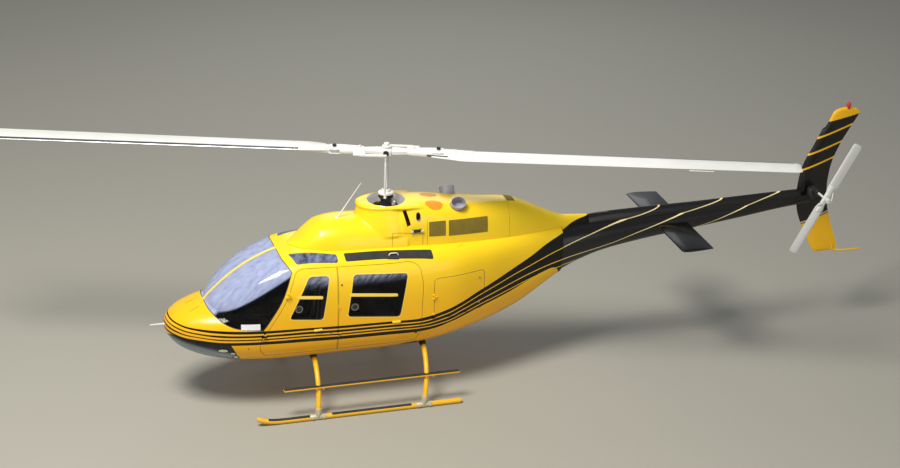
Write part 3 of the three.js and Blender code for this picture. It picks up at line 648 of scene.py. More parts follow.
belly = formed_skin("belly_skin", span(.99, 3.13, .03), span(192, 348, 2))
kept_inside(belly, slab(1.0004, 3.115, -1, .1466))
skin_on(belly, "airframe", "belly_pan")

roof = formed_skin("roof_skin", span(1.3, 3.13, .025), span(20, 160, 1.6))
kept_inside(roof, sawn([[1.38, 1.46], [1.38, 1.215], [1.6, 1.215], [1.6, 1.19], [3.115, 1.19],
                        [3.115, 1.46]]))
cut(roof, sawn(OPENING), sawn(WIND),
    *[sawn([[x, s * y] for x, y in SKYLIGHT], 1.1, 1.5, "z") for s in (-1, 1)])
skin_on(roof, "airframe", "roof_panel")

centre_post = formed_skin("windshield_centre_post", span(.43, 1.46, .012), span(86, 94, 1))
kept_inside(centre_post, block(.4, 1.5, -.019, .019, .5, 1.45), sawn(drawn_in(WIND, -.006), -.1, .1))
skin_on(centre_post, "airframe")

post = formed_skin("windshield_post_skin_left", span(1.1, 1.66, .02), span(110, 200, 1.5))
kept_inside(post, sawn([[1.161, .49], [1.161, .9], [1.3, 1.2146], [1.599, 1.2146], [1.599, 1.16],
                        [1.3, .6]], high=0))
cut(post, sawn(OPENING, high=0), sawn(WIND, high=0))
for piece, side in pair(post):
    skin_on(piece, "airframe", f"windshield_post_{side}")

aft = formed_skin("aft_fuselage_skin", span(3.02, 5.1, .025), full_turn)
cut(aft, slab(2.9, 3.1154, -1, .147), slab(2.9, 3.1154, 1.1896, 2), slab(2.9, 3.03, -1, 2), sawn(OPENING),
    sawn(BAGGAGE, high=-.005))
skin_on(aft, "airframe", "aft_fuselage")

# ---------------------------------------------------------------- doors and windows
# Four cabin doors and a baggage door: a thin flange laps the opening, the full door sits inside it.
# Windows, windshield, chin windows and skylights are clear acrylic, let in flush with the skin.


def door_skin(name, outline, window, stations, clock):
    flange = formed_skin(name, stations, clock, wall=.012)
    kept_inside(flange, sawn(drawn_in(outline, .0055), high=0))
    inner = formed_skin("inner", stations, clock)
    kept_inside(inner, sawn(drawn_in(outline, .029), high=0))
    cut(flange, inner, how="UNION")
    if window:
        cut(flange, sawn(window, high=0))
    return flange


def rides(body, side):
    """The body that a piece on this side belongs to."""
    return body if body == "airframe" else f"{body}_{side}"


DOOR_CLOCK = span(112, 222, 1.5)    # how far round the port side the doors reach, in degrees
JAMB = .0185                        # from the outer skin in to the ledge that a door closes on
for which, outline, x0, x1 in (("cabin", OPENING, 1.02, 3.17), ("baggage", BAGGAGE, 3.22, 4.04)):
    jamb = formed_skin(f"{which}_door_jamb_left", span(x0, x1, .025), DOOR_CLOCK, depth=JAMB, wall=.0112)
    kept_inside(jamb, sawn(drawn_in(outline, -.008), high=-.05))
    cut(jamb, sawn(drawn_in(outline, .02), high=-.05))
    for piece, _ in pair(jamb) if which == "cabin" else ((jamb, "left"),):
        gloss(piece, JAMB)
        fit(piece, "airframe", yellow)
for name, outline, window, x0, x1 in (("front", FRONT_OUT, FRONT_WINDOW, 1.04, 2.08),
                                      ("rear", REAR_OUT, REAR_WINDOW, 2.0, 3.15)):
    left = door_skin(f"{name}_door_skin_left", outline, window, span(x0, x1, .025), DOOR_CLOCK)
    for piece, side in pair(left):
        skin_on(piece, f"door_{name}_{side}", f"{name}_door_{side}")
bay_door = door_skin("baggage_door_skin", BAGGAGE, None, span(3.24, 4.02, .025), span(140, 200, 1.5))
skin_on(bay_door, "door_baggage", "baggage_door")


def acrylic(name, dark, pale, share, streak, clear, painted_light_opacity):
    """Clear sheet, see-through where share is 0; where share is 1 it is less clear and carries painted
    light in the tones given as pale, laid in streaks.
    """
    finish = Finish(name, Roughness=.04, IOR=1.33, Coat_Roughness=.02)
    spot, (x, y, z) = finish.place()
    # Where the painted light lies over the glass, from 0 to 1.
    painted_light_share = share(finish, x, z)
    swept_back = finish.node("CombineXYZ", {}, {0: (x + z) * .5, 1: y * 1.6, 2: (z - x) * 2.2})
    waves = finish.noise(swept_back, streak, 7)
    ripple = finish.node("MapRange", {}, {0: waves, 1: .3, 2: .7, 3: 0.0, 4: 1.0})
    facing = finish.node("LayerWeight", values={"Blend": .3}, output="Facing")
    painted_light_tone = finish.blend(ripple, *pale)
    finish.wire(Base_Color=finish.blend(painted_light_share, dark, painted_light_tone),
                Alpha=clear + painted_light_share * painted_light_opacity + facing * .35, Coat_Weight=.1 + facing * .4)
    return finish


def above(low, high, lean=0.0):
    return lambda finish, x, z: finish.node("MapRange", {"interpolation_type": "SMOOTHSTEP"},
                                            {0: z - x * lean, 1: low, 2: high, 3: 0.0, 4: 1.0})


# Painted reflections on the windshield: near black below a line rising aft, a painted dark reflection, and
# pale streaky blue-grey above it, a painted sky reflection.
windshield_glass = acrylic("windshield_acrylic", "07080b", ("8e97ba", "aab3d5"), above(.34, .375, .56), 9,
                           .34, .56)
# Painted shade on the chin windows: dark along their top, grey-blue and clear below.
chin_glass = acrylic("chin_acrylic", "8f9ba3", ("101317", "262b31"), above(.33, .4, -.22), 7, .82, .1)
# Painted sky reflection: pale streaky tones over the upper part of the door windows and the skylights.
door_glass = acrylic("window_acrylic", "08090c", ("3a4058", "a4a9c2"), above(.98, 1.12), 9, .25, .42)
roof_glass = acrylic("skylight_acrylic", "0c0f13", ("2b3040", "868fb2"), above(1.2, 1.33), 7, .5, .3)

for name, finish, outline, stations, clock, near, body, slot in (
        ("windshield", windshield_glass, WIND, span(.43, .8, .006) + span(.812, 1.52, .012),
         span(84, 192, .75), .0194, "airframe", "windshield_glass"),
        ("chin_window", chin_glass, CHIN, [.012, .017, .023, .03, .038, .047, .058] + span(.07, .9, .02),
         span(150, 268, 2), .0454, "airframe", "chin_glass"),
        ("skylight", roof_glass, SKYLIGHT, span(1.45, 2.12, .03), span(106, 150, 2), 0, "airframe",
         "window_glass"),
        ("front_window", door_glass, FRONT_WINDOW, span(1.38, 2.0, .03), span(122, 185, 2), 0, "door_front",
         "window_glass"),
        ("rear_window", door_glass, REAR_WINDOW, span(2.1, 3.0, .03), span(122, 185, 2), 0, "door_rear",
         "window_glass")):
    glass = formed_skin(f"{name}_glass_left", stations, clock, depth=.003, wall=.006)
    edge = drawn_in(outline, .0004)
    kept_inside(glass, sawn([[x, -y] for x, y in edge], 1.1, 1.5, "z") if name == "skylight"
                else sawn(edge, high=-near))
    for piece, side in pair(glass):
        gloss(piece, depth=.003)
        fit(piece, rides(body, side), finish, nodes=[f"{name}_{side}"])

# ---------------------------------------------------------------- mast fairing and engine cowl
# Fibreglass mouldings over the gearbox and the turbine: a doghouse rising to a drum round the mast,
# and a long cowl whose top runs forward round the mast as a lip. Held by quarter-turn studs and latches.
FAIRING = [[1.56, .06, 1.38, 1.29], [1.61, .15, 1.4, 1.3], [1.68, .225, 1.446, 1.28], [1.8, .3, 1.55, 1.26],
           [1.95, .35, 1.648, 1.25], [2.2, .385, 1.68, 1.24], [2.55, .4, 1.668, 1.23],
           [3.0, .4, 1.68, 1.23]]
COWL = [[2.94, .372, 1.842, 1.23, 4], [3.15, .378, 1.84, 1.23, 4], [3.4, .372, 1.816, 1.22, 4],
        [3.7, .35, 1.776, 1.21, 3.8], [4.07, .305, 1.736, 1.2, 3.4], [4.4, .255, 1.715, 1.2, 3.1],
        [4.68, .205, 1.611, 1.18, 2.9], [4.95, .16, 1.482, 1.16, 2.7], [5.16, .13, 1.4, 1.15, 2.6],
        [5.33, .105, 1.388, 1.15, 2.6], [5.5, .075, 1.378, 1.15, 2.6]]
DRUM = [[1.48, .445, .385], [1.6, .418, .352], [1.7, .388, .312], [1.83, .36, .255]]
LIP = [[2.419, .02, 1.815], [2.432, .075, 1.816], [2.46, .126, 1.816], [2.52, .188, 1.816],
       [2.6, .236, 1.816], [2.7, .269, 1.816], [2.81, .284, 1.816], [2.9, .298, 1.816], [3, .312, 1.815],
       [3.12, .303, 1.806], [3.26, .265, 1.784], [3.4, .215, 1.757]]
MAST_X = 2.81


def lofted(name, rings):
    """A closed body through rings of points, capped at both ends."""
    rings = np.array(rings)
    count, around = rings.shape[:2]
    body, i, j = net(name, count - 1, around)
    move_points(body, rings[i, j % around])
    edit(body)
    bpy.ops.mesh.remove_doubles(threshold=1e-6)
    bpy.ops.mesh.select_all(action="SELECT")
    bpy.ops.mesh.fill_holes(sides=0)
    bpy.ops.mesh.select_all(action="SELECT")
    bpy.ops.mesh.normals_make_consistent(inside=False)
    done()
    return body


def arch(rows, stations, depth=0.0, around=49):
    """Rings of an arched moulding whose half width, top, base and squareness follow the rows."""
    x = np.array(stations)
    wide, top, base, *power = (line(x) for line in fair_columns(rows))
    power = power[0] if power else 2.6 + 0 * x
    p = np.linspace(0, np.pi, around)[None, :]
    reach = oval(np.abs(np.cos(p)) + 1e-9, np.sin(p) + 1e-9, (wide - depth)[:, None],
                 (top - base - depth)[:, None], power[:, None])
    return np.stack([x[:, None] + 0 * reach, reach * np.cos(p), base[:, None] + reach * np.sin(p)], -1)


def hull_body(x0, x1, depth=0.0):
    x = np.array(span(x0, x1, .03))[:, None]
    turn = np.radians(np.array(span(0, 357, 3)))[None, :]
    x, turn = np.broadcast_arrays(x, turn)
    return lofted("hull_tool", hull_surface(x, turn) - depth * hull_facing(x, turn))


def column(radius, z0, z1, x=MAST_X, y=0.0, around=64):
    alone()
    bpy.ops.mesh.primitive_cylinder_add(vertices=around, radius=radius, depth=z1 - z0,
                                        location=(x, y, (z0 + z1) / 2))
    return settled(bpy.context.object)


def joined(name, *bodies):
    alone(*bodies)
    bpy.ops.object.join()
    return named(bodies[0], name)


def between(s, near, far):
    """Two depths on the port (-1) or starboard (1) side, the lower one first."""
    return sorted((s * near, s * far))


def ellipse(x, z, a, b=None, count=28):
    return [[x + a * math.cos(t), z + (b or a) * math.sin(t)]
            for t in np.linspace(0, 2 * math.pi, count + 1)[:-1]]


def bulge(v):
    return np.sign(v) * np.abs(v) ** .6


bulkhead = named(hull_body(3.1154, 3.1294, .0305), "cabin_bulkhead")
fasten(bulkhead, lining)
clock = np.linspace(0, 2 * np.pi, 65)[:-1]
drum = lofted("drum", [[[MAST_X + a * math.cos(t), b * math.sin(t), z] for t in clock] for z, a, b in DRUM])
lip_x = np.array(span(2.419, 3.4, .02))
lip_wide, lip_z = (line(lip_x) for line in fair_columns(LIP))
lip_tall = np.where(lip_x < 2.43, .014, .026)
lip = lofted("lip", np.stack([lip_x[:, None] + 0 * clock, lip_wide[:, None] * bulge(np.cos(clock)),
                              lip_z[:, None] + lip_tall[:, None] * bulge(np.sin(clock))], -1))
moulding = joined("moulding", lofted("doghouse", arch(FAIRING, span(1.56, 3.0, .03))), drum, lip,
                  lofted("cowl", arch(COWL, span(2.94, 5.5, .04))))
CLAY = .0135    # the size of grain in which the mouldings are shaped
apply(moulding, "REMESH", mode="VOXEL", voxel_size=CLAY)
apply(moulding, "SMOOTH", factor=.5, iterations=6)
cut(moulding, hull_body(1.4, 5.11, -.003))
over, core = copy_of(moulding, "over"), copy_of(moulding, "core")
for layer, lift in ((over, .0012), (core, -.004)):
    apply(layer, "DISPLACE", strength=lift, mid_level=0)
apply(core, "REMESH", mode="VOXEL", voxel_size=CLAY)
ACCESS = rounded([[2.796, 1.338], [2.796, 1.535], [3.192, 1.494], [3.192, 1.3]], .015, 4)
rims = [cut(sawn(ACCESS, *between(s, .2, .6)), sawn(drawn_in(ACCESS, .004), *between(s, .1, .7)))
        for s in (-1, 1)]
groove = kept_inside(copy_of(over, "groove"), joined("rims", *rims, slab(3.245, 3.2485, 1, 1.66)))
cut(groove, core, keep=True)
cut(moulding, groove, keep=True)
seam = mottled("seam_sealant", "8a5c06", "5d3d06", 40, 4, Roughness=.7)
fasten(named(groove, "cowl_panel_seams"), seam)

cowl = copy_of(moulding, "engine_cowl_skin")
cut(moulding, slab(2.9396, 6, 1, 2), slab(2, 3.1, 1.7896, 2),
    lofted("hollow", arch(FAIRING[3:], span(1.83, 2.96, .05), .015, 25)), column(.215, 1.2, 2))
fasten(named(moulding, "mast_fairing_skin"), yellow, "mast_fairing", angle=40)

cowl_hollow = lofted("hollow", arch(COWL[:9], span(2.92, 5.1, .06), .015, 25))
cut(cowl_hollow, column(.33, 1.79, 2))
cut(cowl, slab(1.4, 2.94, 1, 1.79), cowl_hollow, column(.24, 1.2, 2))


STACK_X, STACK_Y, STACK_Z = 3.677, .186, 1.724
STACK_LEAN, STACK_OVAL = .7, 1.2    # radians outwards, and length by width of the oval


def stack_bore(s, radius, z0, z1):
    """A body along one exhaust stack, which is oval and leans outwards."""
    tool = column(radius, z0, z1, 0, 0, 40)
    tool.data.transform(Matrix.Translation((STACK_X, s * STACK_Y, STACK_Z))
                        @ Matrix.Rotation(-s * STACK_LEAN, 4, "X") @ Matrix.Diagonal((STACK_OVAL, 1, 1, 1)))
    return tool


for s in (-1, 1):
    cut(cowl, stack_bore(s, .084, -.19, .4),
        sawn(rounded([[2.943, 1.786], [2.992, 1.79], [3.04, 1.605], [2.992, 1.59]], .008, 3),
             *between(s, .25, .6)),
        sawn(ellipse(3.138, 1.705, .03, .047), *between(s, .25, .6)))
cut(cowl, slab(4.3605, 4.364, 1, 2))
fasten(cowl, yellow, "engine_cowl", angle=40)

# ---------------------------------------------------------------- tail boom, fin and stabilizer
# A tapered aluminium boom of rolled, riveted skins, with the drive shaft under a cover along its top,
# a fixed stabilizer through it and a swept fin bolted to its end. Gloss black with yellow lines.
BOOM = [[5.1004, .65, 1.281, .247], [5.2, .702, 1.283, .238], [5.33, .762, 1.285, .228],
        [5.68, .878, 1.286, .203], [6.2, .965, 1.292, .163], [7, 1.058, 1.305, .124],
        [7.6, 1.13, 1.32, .096], [8.25, 1.213, 1.345, .066], [8.62, 1.247, 1.362, .055]]
COVER = [[5.5004, .074, 1.376, 1.18, 2.4], [5.56, .074, 1.382, 1.18, 2.4], [5.68, .073, 1.392, 1.18, 2.4],
         [7.05, .066, 1.414, 1.22, 2.4], [8, .06, 1.438, 1.25, 2.4], [8.46, .056, 1.446, 1.28, 2.4],
         [8.5, .042, 1.43, 1.29, 2.4]]
FIN = [[.478, 8.812, 9.15, .01], [.5, 8.796, 9.15, .02], [.78, 8.65, 9.06, .024], [1, 8.545, 8.985, .025],
       [1.15, 8.5, 8.945, .025], [1.3, 8.48, 8.925, .025], [1.45, 8.482, 8.915, .025],
       [1.6, 8.498, 8.925, .025], [1.75, 8.535, 8.95, .024], [2.05, 8.68, 9.068, .022],
       [2.4, 8.845, 9.225, .02], [2.5, 8.89, 9.268, .018], [2.53, 8.912, 9.255, .009]]
FIN_Y = .078


def angles(count, shift=0):
    return (np.arange(count) + shift) * 2 * np.pi / count


boom_x = np.array(span(5.1004, 8.62, .06))
low, top, wide = (line(boom_x) for line in fair_columns(BOOM))
around = angles(48, .5)
reach = oval(np.abs(np.cos(around)), np.abs(np.sin(around)), wide[:, None], ((top - low) / 2)[:, None], 2.2)
boom_rings = np.stack([boom_x[:, None] + 0 * reach, reach * np.cos(around),
                       ((top + low) / 2)[:, None] + reach * np.sin(around)], -1)


def aerofoil(lead, trail, half, around=15):
    """Chord places and half thicknesses from the nose over the back and home along the belly."""
    c = (1 - np.cos(np.linspace(0, np.pi, around))) / 2
    t = 5 * (.2969 * np.sqrt(c) - .126 * c - .3516 * c ** 2 + .2843 * c ** 3 - .1036 * c ** 4) / .5
    t = np.maximum(t, .06 * (c > .5))
    t[0] = 0
    upper = np.stack([lead + (trail - lead) * c, t * half], -1)
    return np.concatenate([upper, (upper * [1, -1])[:0:-1]])


black = enamel("black_enamel", "0a0807", "080605", deep="12100e")
tail_black = Finish("tail_enamel", Coat_Weight=.3, Coat_Roughness=.08, IOR=1.45)
tail_spot, tail_place = tail_black.place()
tail_tone = tail_black.noise(tail_spot, 7, 4)
tail_dust = tail_black.blend(tail_tone * .35, "0a0807", "1a1613")
tail_black.wire(Base_Color=tail_black.blend(band(tail_black, tail_place), "f8e3a4", tail_dust),
                Roughness=.24 + tail_tone * .2)

fasten(lofted("tail_boom_skin", boom_rings), tail_black, "tail_boom")
cover = lofted("shaft_cover_skin", arch(COVER, span(5.5004, 8.46, .05) + [8.48, 8.495, 8.5], 0, 25))
fasten(cover, tail_black, "shaft_cover")
fin_z = np.array([.478, .484, .492] + span(.5, 2.3, .05) + span(2.31, 2.53, .01))
lead, trail, half = (line(fin_z) for line in fair_columns(FIN))
trail = trail + .05 * np.clip((fin_z - 2.05) / .35, 0, 1)
tip = fair_line([[8.8, 2.25], [8.86, 2.35], [8.91, 2.461], [8.964, 2.498], [9.078, 2.517], [9.16, 2.508],
                 [9.226, 2.491], [9.29, 2.44], [9.31, 2.37], [9.33, 2.3]])
fin_rings = []
for z, a, b, t in zip(fin_z, lead, trail, half):
    ring = []
    for x, y in aerofoil(a, b, t, 21):
        roof_z = float(tip(x)) if z > 2.2 else 9
        ring.append([x, FIN_Y + y * math.sqrt(min(1, max(0, (roof_z - z) / .03))), min(z, roof_z)])
    fin_rings.append(ring)
fin_paint = Finish("fin_enamel", Coat_Weight=.3, Coat_Roughness=.08, IOR=1.45)
fin_spot, (fin_x, _, fin_h) = fin_paint.place()
fin_tone = fin_paint.noise(fin_spot, 7, 4)
fin_slope = fin_h - (fin_x - 8.73) * .32
fin_bars = ((abs(fin_slope - 2.122) < .013) + (abs(fin_slope - 1.933) < .013)
            + (abs(fin_slope - 1.748) < .013))
fin_tip = fin_h - (fin_x - 8.852) * .18 > 2.336
fin_foot = fin_h - (fin_x - 8.575) * .34 < .9
fin_trim = (fin_h - (fin_x - 8.575) * .34).within(.912, .935)
fin_shade = fin_paint.blend(fin_tone * .4, "0a0807", "1a1613")
fin_shade = fin_paint.blend(fin_trim, fin_shade, "c9b58a")
fin_gold = fin_paint.blend(fin_tone * .3, "fbc00c", "e8a200")
fin_paint.wire(Base_Color=fin_paint.blend(fin_bars + fin_tip + fin_foot, fin_shade, fin_gold),
               Roughness=.26 + fin_tone * .2)
fasten(lofted("fin_skin", fin_rings), fin_paint, "fin")
stabilizer = lofted("stabilizer_skin", [
    [[x, y, 1.172 + z]
     for x, z in aerofoil(6.64 - .215 * (.9 + .1 * k), 6.64 + .215 * (.9 + .1 * k), .024 * k)]
    for y, k in ((-.985, .45), (-.98, .75), (-.965, 1), (-.5, 1), (.5, 1), (.965, 1), (.98, .75),
                 (.985, .45))])
fasten(stabilizer, black, "stabilizer")

# ---------------------------------------------------------------- main rotor, mast and controls
# Two bonded blades bolted in forged grips on a teetering yoke, all turned by a hollow steel mast.
# Pitch rods come up from the swashplate to a horn on each grip. Blades and head are painted white.
HUB_Z, CHORD, REST = 2.48, .33, math.radians(-19)
white = Finish("white_enamel", Coat_Weight=.35, Coat_Roughness=.12, IOR=1.5)
white_spot, _ = white.place()
white_soot = white.noise(white_spot, 5, 5)
white_wear = white.noise(white_spot, 60, 4)
white.wire(Base_Color=white.blend(white_soot * .3 + white_wear * .12, "ecece8", "a9a9a4"),
           Roughness=.26 + white_wear * .22)
steel = mottled("ground_steel", "b9bcbe", "8a8c8e", 90, 4, (1, 1, 6), rough=(.2, .22),
                relief=(90, 4, (1, 1, 6), .0003, .3), Metallic=1.0)
rubber = mottled("black_rubber", "17181a", "3b3a38", 35, 5, share=.6, rough=(.55, .3),
                 relief=(400, 2, .0004, .4))
gear_metal = mottled("gearbox_casting", "4c4e50", "26262a", 14, 5, rough=(.35, .35),
                     relief=(160, 3, .0006, .5), Metallic=.75)


def broken_edges(piece, offset, segments=2):
    edit(piece, kind="EDGE")
    bpy.ops.mesh.bevel(offset=offset, segments=segments, affect="EDGES")
    done()
    return piece


def planed(name, x0, x1, y0, y1, z0, z1, edge=.003):
    """A machined block with its edges broken."""
    return broken_edges(named(block(x0, x1, y0, y1, z0, z1), name), edge)


def turned(name, profile, x=0.0, y=0.0, around=48):
    """A part turned on the lathe about a vertical line: rows of radius and height."""
    return lofted(name, [[[x + r * math.cos(t), y + r * math.sin(t), z] for t in angles(around)]
                         for r, z in profile])


def rod(name, start, end, radius, around=20, edge=.0015):
    """A bar between two points with its ends chamfered."""
    start, end = Vector(start), Vector(end)
    alone()
    bpy.ops.mesh.primitive_cylinder_add(vertices=around, radius=radius, depth=(end - start).length)
    bar = named(bpy.context.object, name)
    at = bar.data.vertices
    edit(bar, lambda e: abs(at[e.vertices[0]].co.z - at[e.vertices[1]].co.z) < 1e-5, "EDGE")
    bpy.ops.mesh.bevel(offset=min(edge, radius * .3), segments=2, affect="EDGES")
    done()
    bar.data.transform(Matrix.Translation((start + end) / 2)
                       @ (end - start).to_track_quat("Z", "Y").to_matrix().to_4x4())
    return bar


def swept(name, path, radius, around=20, steps=6):
    """A drawn tube or bar along a smooth path; radius may change from point to point."""
    line = np.array(flowing(path, steps))
    radii = np.interp(np.linspace(0, 1, len(line)), np.linspace(0, 1, len(path)),
                      radius if hasattr(radius, "__len__") else [radius] * len(path))
    way = np.gradient(line, axis=0)
    way /= np.linalg.norm(way, axis=1)[:, None]
    side = np.cross(way[0], [0, 0, 1] if abs(way[0][2]) < .9 else [1, 0, 0])
    rings = []
    for p, w, r in zip(line, way, radii):
        side = side - w * side.dot(w)
        side /= np.linalg.norm(side)
        other = np.cross(w, side)
        rings.append([p + r * (math.cos(t) * side + math.sin(t) * other) for t in angles(around)])
    return lofted(name, rings)


def on_head(piece, half_turn=False):
    """Set a part of the head, drawn along x at the hub, to the parked angle over the mast."""
    turn = Matrix.Rotation(REST + (math.pi if half_turn else 0), 4, "Z")
    piece.data.transform(Matrix.Translation((MAST_X, 0, HUB_Z)) @ turn)
    return piece


def pitched(r, section):
    """A blade section at this radius, turned to its pitch."""
    pitch = math.radians(3.2 - 1.1 * r)
    return [[r, c * math.cos(pitch) - h * math.sin(pitch), h * math.cos(pitch) + c * math.sin(pitch)]
            for c, h in section]


blade_r = [.559, .56] + span(.6, 1.0, .05) + span(1.1, 4.9, .2) + [5.0, 5.02, 5.05, 5.07, 5.08]
blade_w = fair_line([[.56, .62], [.76, .8], [1, 1], [5.0, 1], [5.06, .93], [5.08, .84]])
blade_t = fair_line([[.56, .026], [.76, .022], [1, .019], [5.02, .019], [5.06, .013], [5.08, .006]])
rings = []
for r in blade_r:
    w = float(blade_w(r))
    rings.append(pitched(r, aerofoil(CHORD * .27 * w, -CHORD * .73 * w, float(blade_t(r)), 21)))
blade = lofted("blade", rings)
doubler = [planed("doubler", .57, x, -.075 + d, .06 - d * .4, -.031 + d * .12, .031 - d * .12, .002)
           for x, d in ((.86, 0), (.96, .02), (1.06, .038))]
tab = planed("trim_tab", 3.7, 4.0, -.262, -.236, -.0145, -.0125, .0005)
blade_kit = smooth(joined("main_blade_skin_a", blade, *doubler, tab), 40)
for twin, turn, node in ((copy_of(blade_kit, "main_blade_skin_b"), True, "main_blade_b"),
                         (blade_kit, False, "main_blade_a")):
    fit(on_head(twin, turn), "main_rotor", white, nodes=[node])
section = aerofoil(CHORD * .27 + .0008, -CHORD * .73, .0198, 21)
front = np.concatenate([section[-5:], section[:6]])
back_row = [(c - .0018 * (c > .06), h * .93) for c, h in front[::-1]]
guard = smooth(lofted("leading_edge_guard_a", [pitched(r, [*front, *back_row])
                                               for r in [1.08] + span(1.2, 4.9, .2) + [5.0]]), 40)
for twin, turn in ((copy_of(guard, "leading_edge_guard_b"), True), (guard, False)):
    fit(on_head(twin, turn), "main_rotor", steel)

yoke = lofted("yoke", [[[x, w * c, t * s] for c, s in ((-1, -.8), (-.92, -1), (.92, -1), (1, -.8), (1, .8),
                                                       (.92, 1), (-.92, 1), (-1, .8))]
                       for x, w, t in ((-.27, .05, .018), (-.26, .055, .022), (-.12, .078, .024),
                                       (.12, .078, .024), (.26, .055, .022), (.27, .05, .018))])
trunnion = planed("trunnion", -.062, .062, -.098, .098, -.036, .036, .008)
bolts = []
head = [yoke, trunnion, turned("cap", [[.05, -.062], [.058, -.058], [.058, -.02], [.047, .0], [.047, .05],
                                       [.055, .056], [.055, .07], [.034, .074], [.034, .1], [.028, .105]])]
for s in (-1, 1):
    bolts.append(rod("bearing", (0, s * .088, 0), (0, s * .116, 0), .034, 28, .004))
    bolts += [rod("bolt", (dx, s * .106, dz), (dx, s * .121, dz), .006, 6) for dx, dz in
              ((.024, .024), (-.024, .024), (.024, -.024), (-.024, -.024))]
GRIP = [[.245, .05, .022], [.26, .06, .027], [.3, .078, .037], [.4, .086, .041], [.52, .1, .043],
        [.64, .12, .036], [.7, .126, .032], [.708, .118, .028]]
grip_wide, grip_tall = fair_columns(GRIP)
around = angles(32, .5)
for k in (1, -1):
    grip = lofted("grip", [[[k * r, k * q * math.cos(t), q * math.sin(t)]
                            for t, q in zip(around, oval(np.abs(np.cos(around)), np.abs(np.sin(around)),
                                                         grip_wide(r), grip_tall(r), 3.2))]
                           for r in (.245, .25, .26, .28, .3, .35, .4, .46, .52, .58, .64, .69, .7, .708)])
    cut(grip, block(*between(k, .57, .72), -.2, .2, -.0265, .0265))
    bolts += [rod("blade_bolt", (k * .64, k * .01, -.052), (k * .64, k * .01, .056), .021, 28, .003),
              rod("bolt_head", (k * .64, k * .01, .05), (k * .64, k * .01, .066), .028, 6, .002),
              rod("drag_brace", (k * .5, -k * .108, 0), (k * .76, -k * .14, 0), .011, 14)]
    head += [grip, planed("horn_root", *between(k, .25, .4), *between(k, .07, .19), -.011, .011, .004),
             planed("horn", *between(k, -.014, .32), *between(k, .16, .2), -.013, .013, .005),
             rod("oil_cup", (k * .33, 0, .034), (k * .33, 0, .06), .016, 18)]
fasten(on_head(joined("rotor_head", *head)), white, "main_rotor_hub", body="main_rotor", angle=32)
fasten(on_head(joined("head_bolts_and_braces", *bolts)), gear_metal, body="main_rotor", angle=32)

mast = turned("mast_tube", [[.026, 1.705], [.028, 1.71], [.028, 1.97], [.031, 1.975], [.031, 1.995],
                            [.028, 2.0], [.028, 2.38], [.034, 2.385], [.034, 2.412],
                            [.03, 2.4176]], MAST_X, 0)
mast_finish = mottled("plated_mast", "e6e6ea", "b7b8be", 50, 4, (1, 1, 5), rough=(.22, .2), Metallic=.35)
fasten(mast, mast_finish, "mast", body="main_rotor")

star = [turned("star", [[.036, 1.918], [.088, 1.914], [.097, 1.92], [.097, 1.938], [.088, 1.944],
                        [.06, 1.946], [.052, 1.975], [.036, 1.98], [.036, 1.918]], 0, 0)]
for k in (1, -1):
    star.append(planed("arm", -.016, .016, *between(k, .08, .195), 1.918, 1.94, .005))
    star += [rod(name, (0, k * .18, low), (0, k * .18, high), radius, around)
             for name, low, high, radius, around in
             (("pitch_rod", 1.925, 2.452, .0085, 18), ("rod_end", 1.93, 1.975, .012, 6),
              ("rod_end", 2.41, 2.4655, .012, 6), ("rod_sleeve", 2.0, 2.38, .0105, 18))]
star = joined("rotating_star", *star)
star.data.transform(Matrix.Translation((0, 0, -HUB_Z)))
fasten(on_head(star), white, "rotating_swashplate", body="main_rotor", angle=32)

collar = turned("mast_opening_collar", [[.2395, 1.82], [.2395, 1.834], [.236, 1.838], [.228, 1.836],
                                        [.212, 1.815], [.162, 1.766], [.158, 1.76], [.158, 1.752],
                                        [.164, 1.752], [.19, 1.775], [.232, 1.818],
                                        [.2395, 1.82]], MAST_X, 0, 72)
bright = mottled("polished_ring", "f2f2f4", "b4b5b9", 24, 5, rough=(.16, .2), Metallic=.6)
fasten(collar, bright, "mast_opening_ring", angle=50)
beacon = turned("beacon", [[.02, 2.49], [.022, 2.515], [.026, 2.518], [.026, 2.524], [.031, 2.53],
                           [.033, 2.55], [.031, 2.565], [.024, 2.576], [.012, 2.583],
                           [.002, 2.5845]], 9.115, FIN_Y, 28)
lens_red = mottled("beacon_lens", "d8423a", "a8201c", 60, 2, Roughness=.12, Coat_Weight=.6)
fasten(beacon, lens_red)
gearbox = turned("gearbox_top", [[.19, 1.4], [.19, 1.66], [.17, 1.69], [.11, 1.7], [.075, 1.71],
                                 [.066, 1.8], [.066, 1.856], [.088, 1.864], [.094, 1.872], [.094, 1.886],
                                 [.086, 1.892], [.0286, 1.892], [.0286, 1.4], [.19, 1.4]], MAST_X, 0)
fasten(gearbox, gear_metal, "transmission")

# ---------------------------------------------------------------- tail rotor and its gearbox
# A small gearbox on the end of the boom turns a two-blade teetering rotor on the port side through a
# short shaft; a crosshead and two links set the blade pitch. White blades, grey casting.
TX, TY, TZ = 8.69, -.34, 1.42
casting = turned("casting", [[.05, 1.3], [.058, 1.31], [.058, 1.43], [.05, 1.45], [.03, 1.456]],
                 TX - .035, 0, 32)
gear_case = joined("tail_gearbox_case", casting, *[
    rod(name, (TX, y0, TZ), (TX, y1, TZ), radius, 32, edge) for name, y0, y1, radius, edge in
    (("sleeve", -.15, .048, .048, .004), ("flange", -.118, -.106, .058, .002),
     ("flange", -.03, -.018, .056, .002))],
    *[rod("bolt", (TX + .051 * math.cos(a), -.122, TZ + .051 * math.sin(a)),
          (TX + .051 * math.cos(a), -.112, TZ + .051 * math.sin(a)), .005, 6)
      for a in (.4, 1.45, 2.5, 3.55, 4.6, 5.65)])
fasten(gear_case, gear_metal, "tail_gearbox")
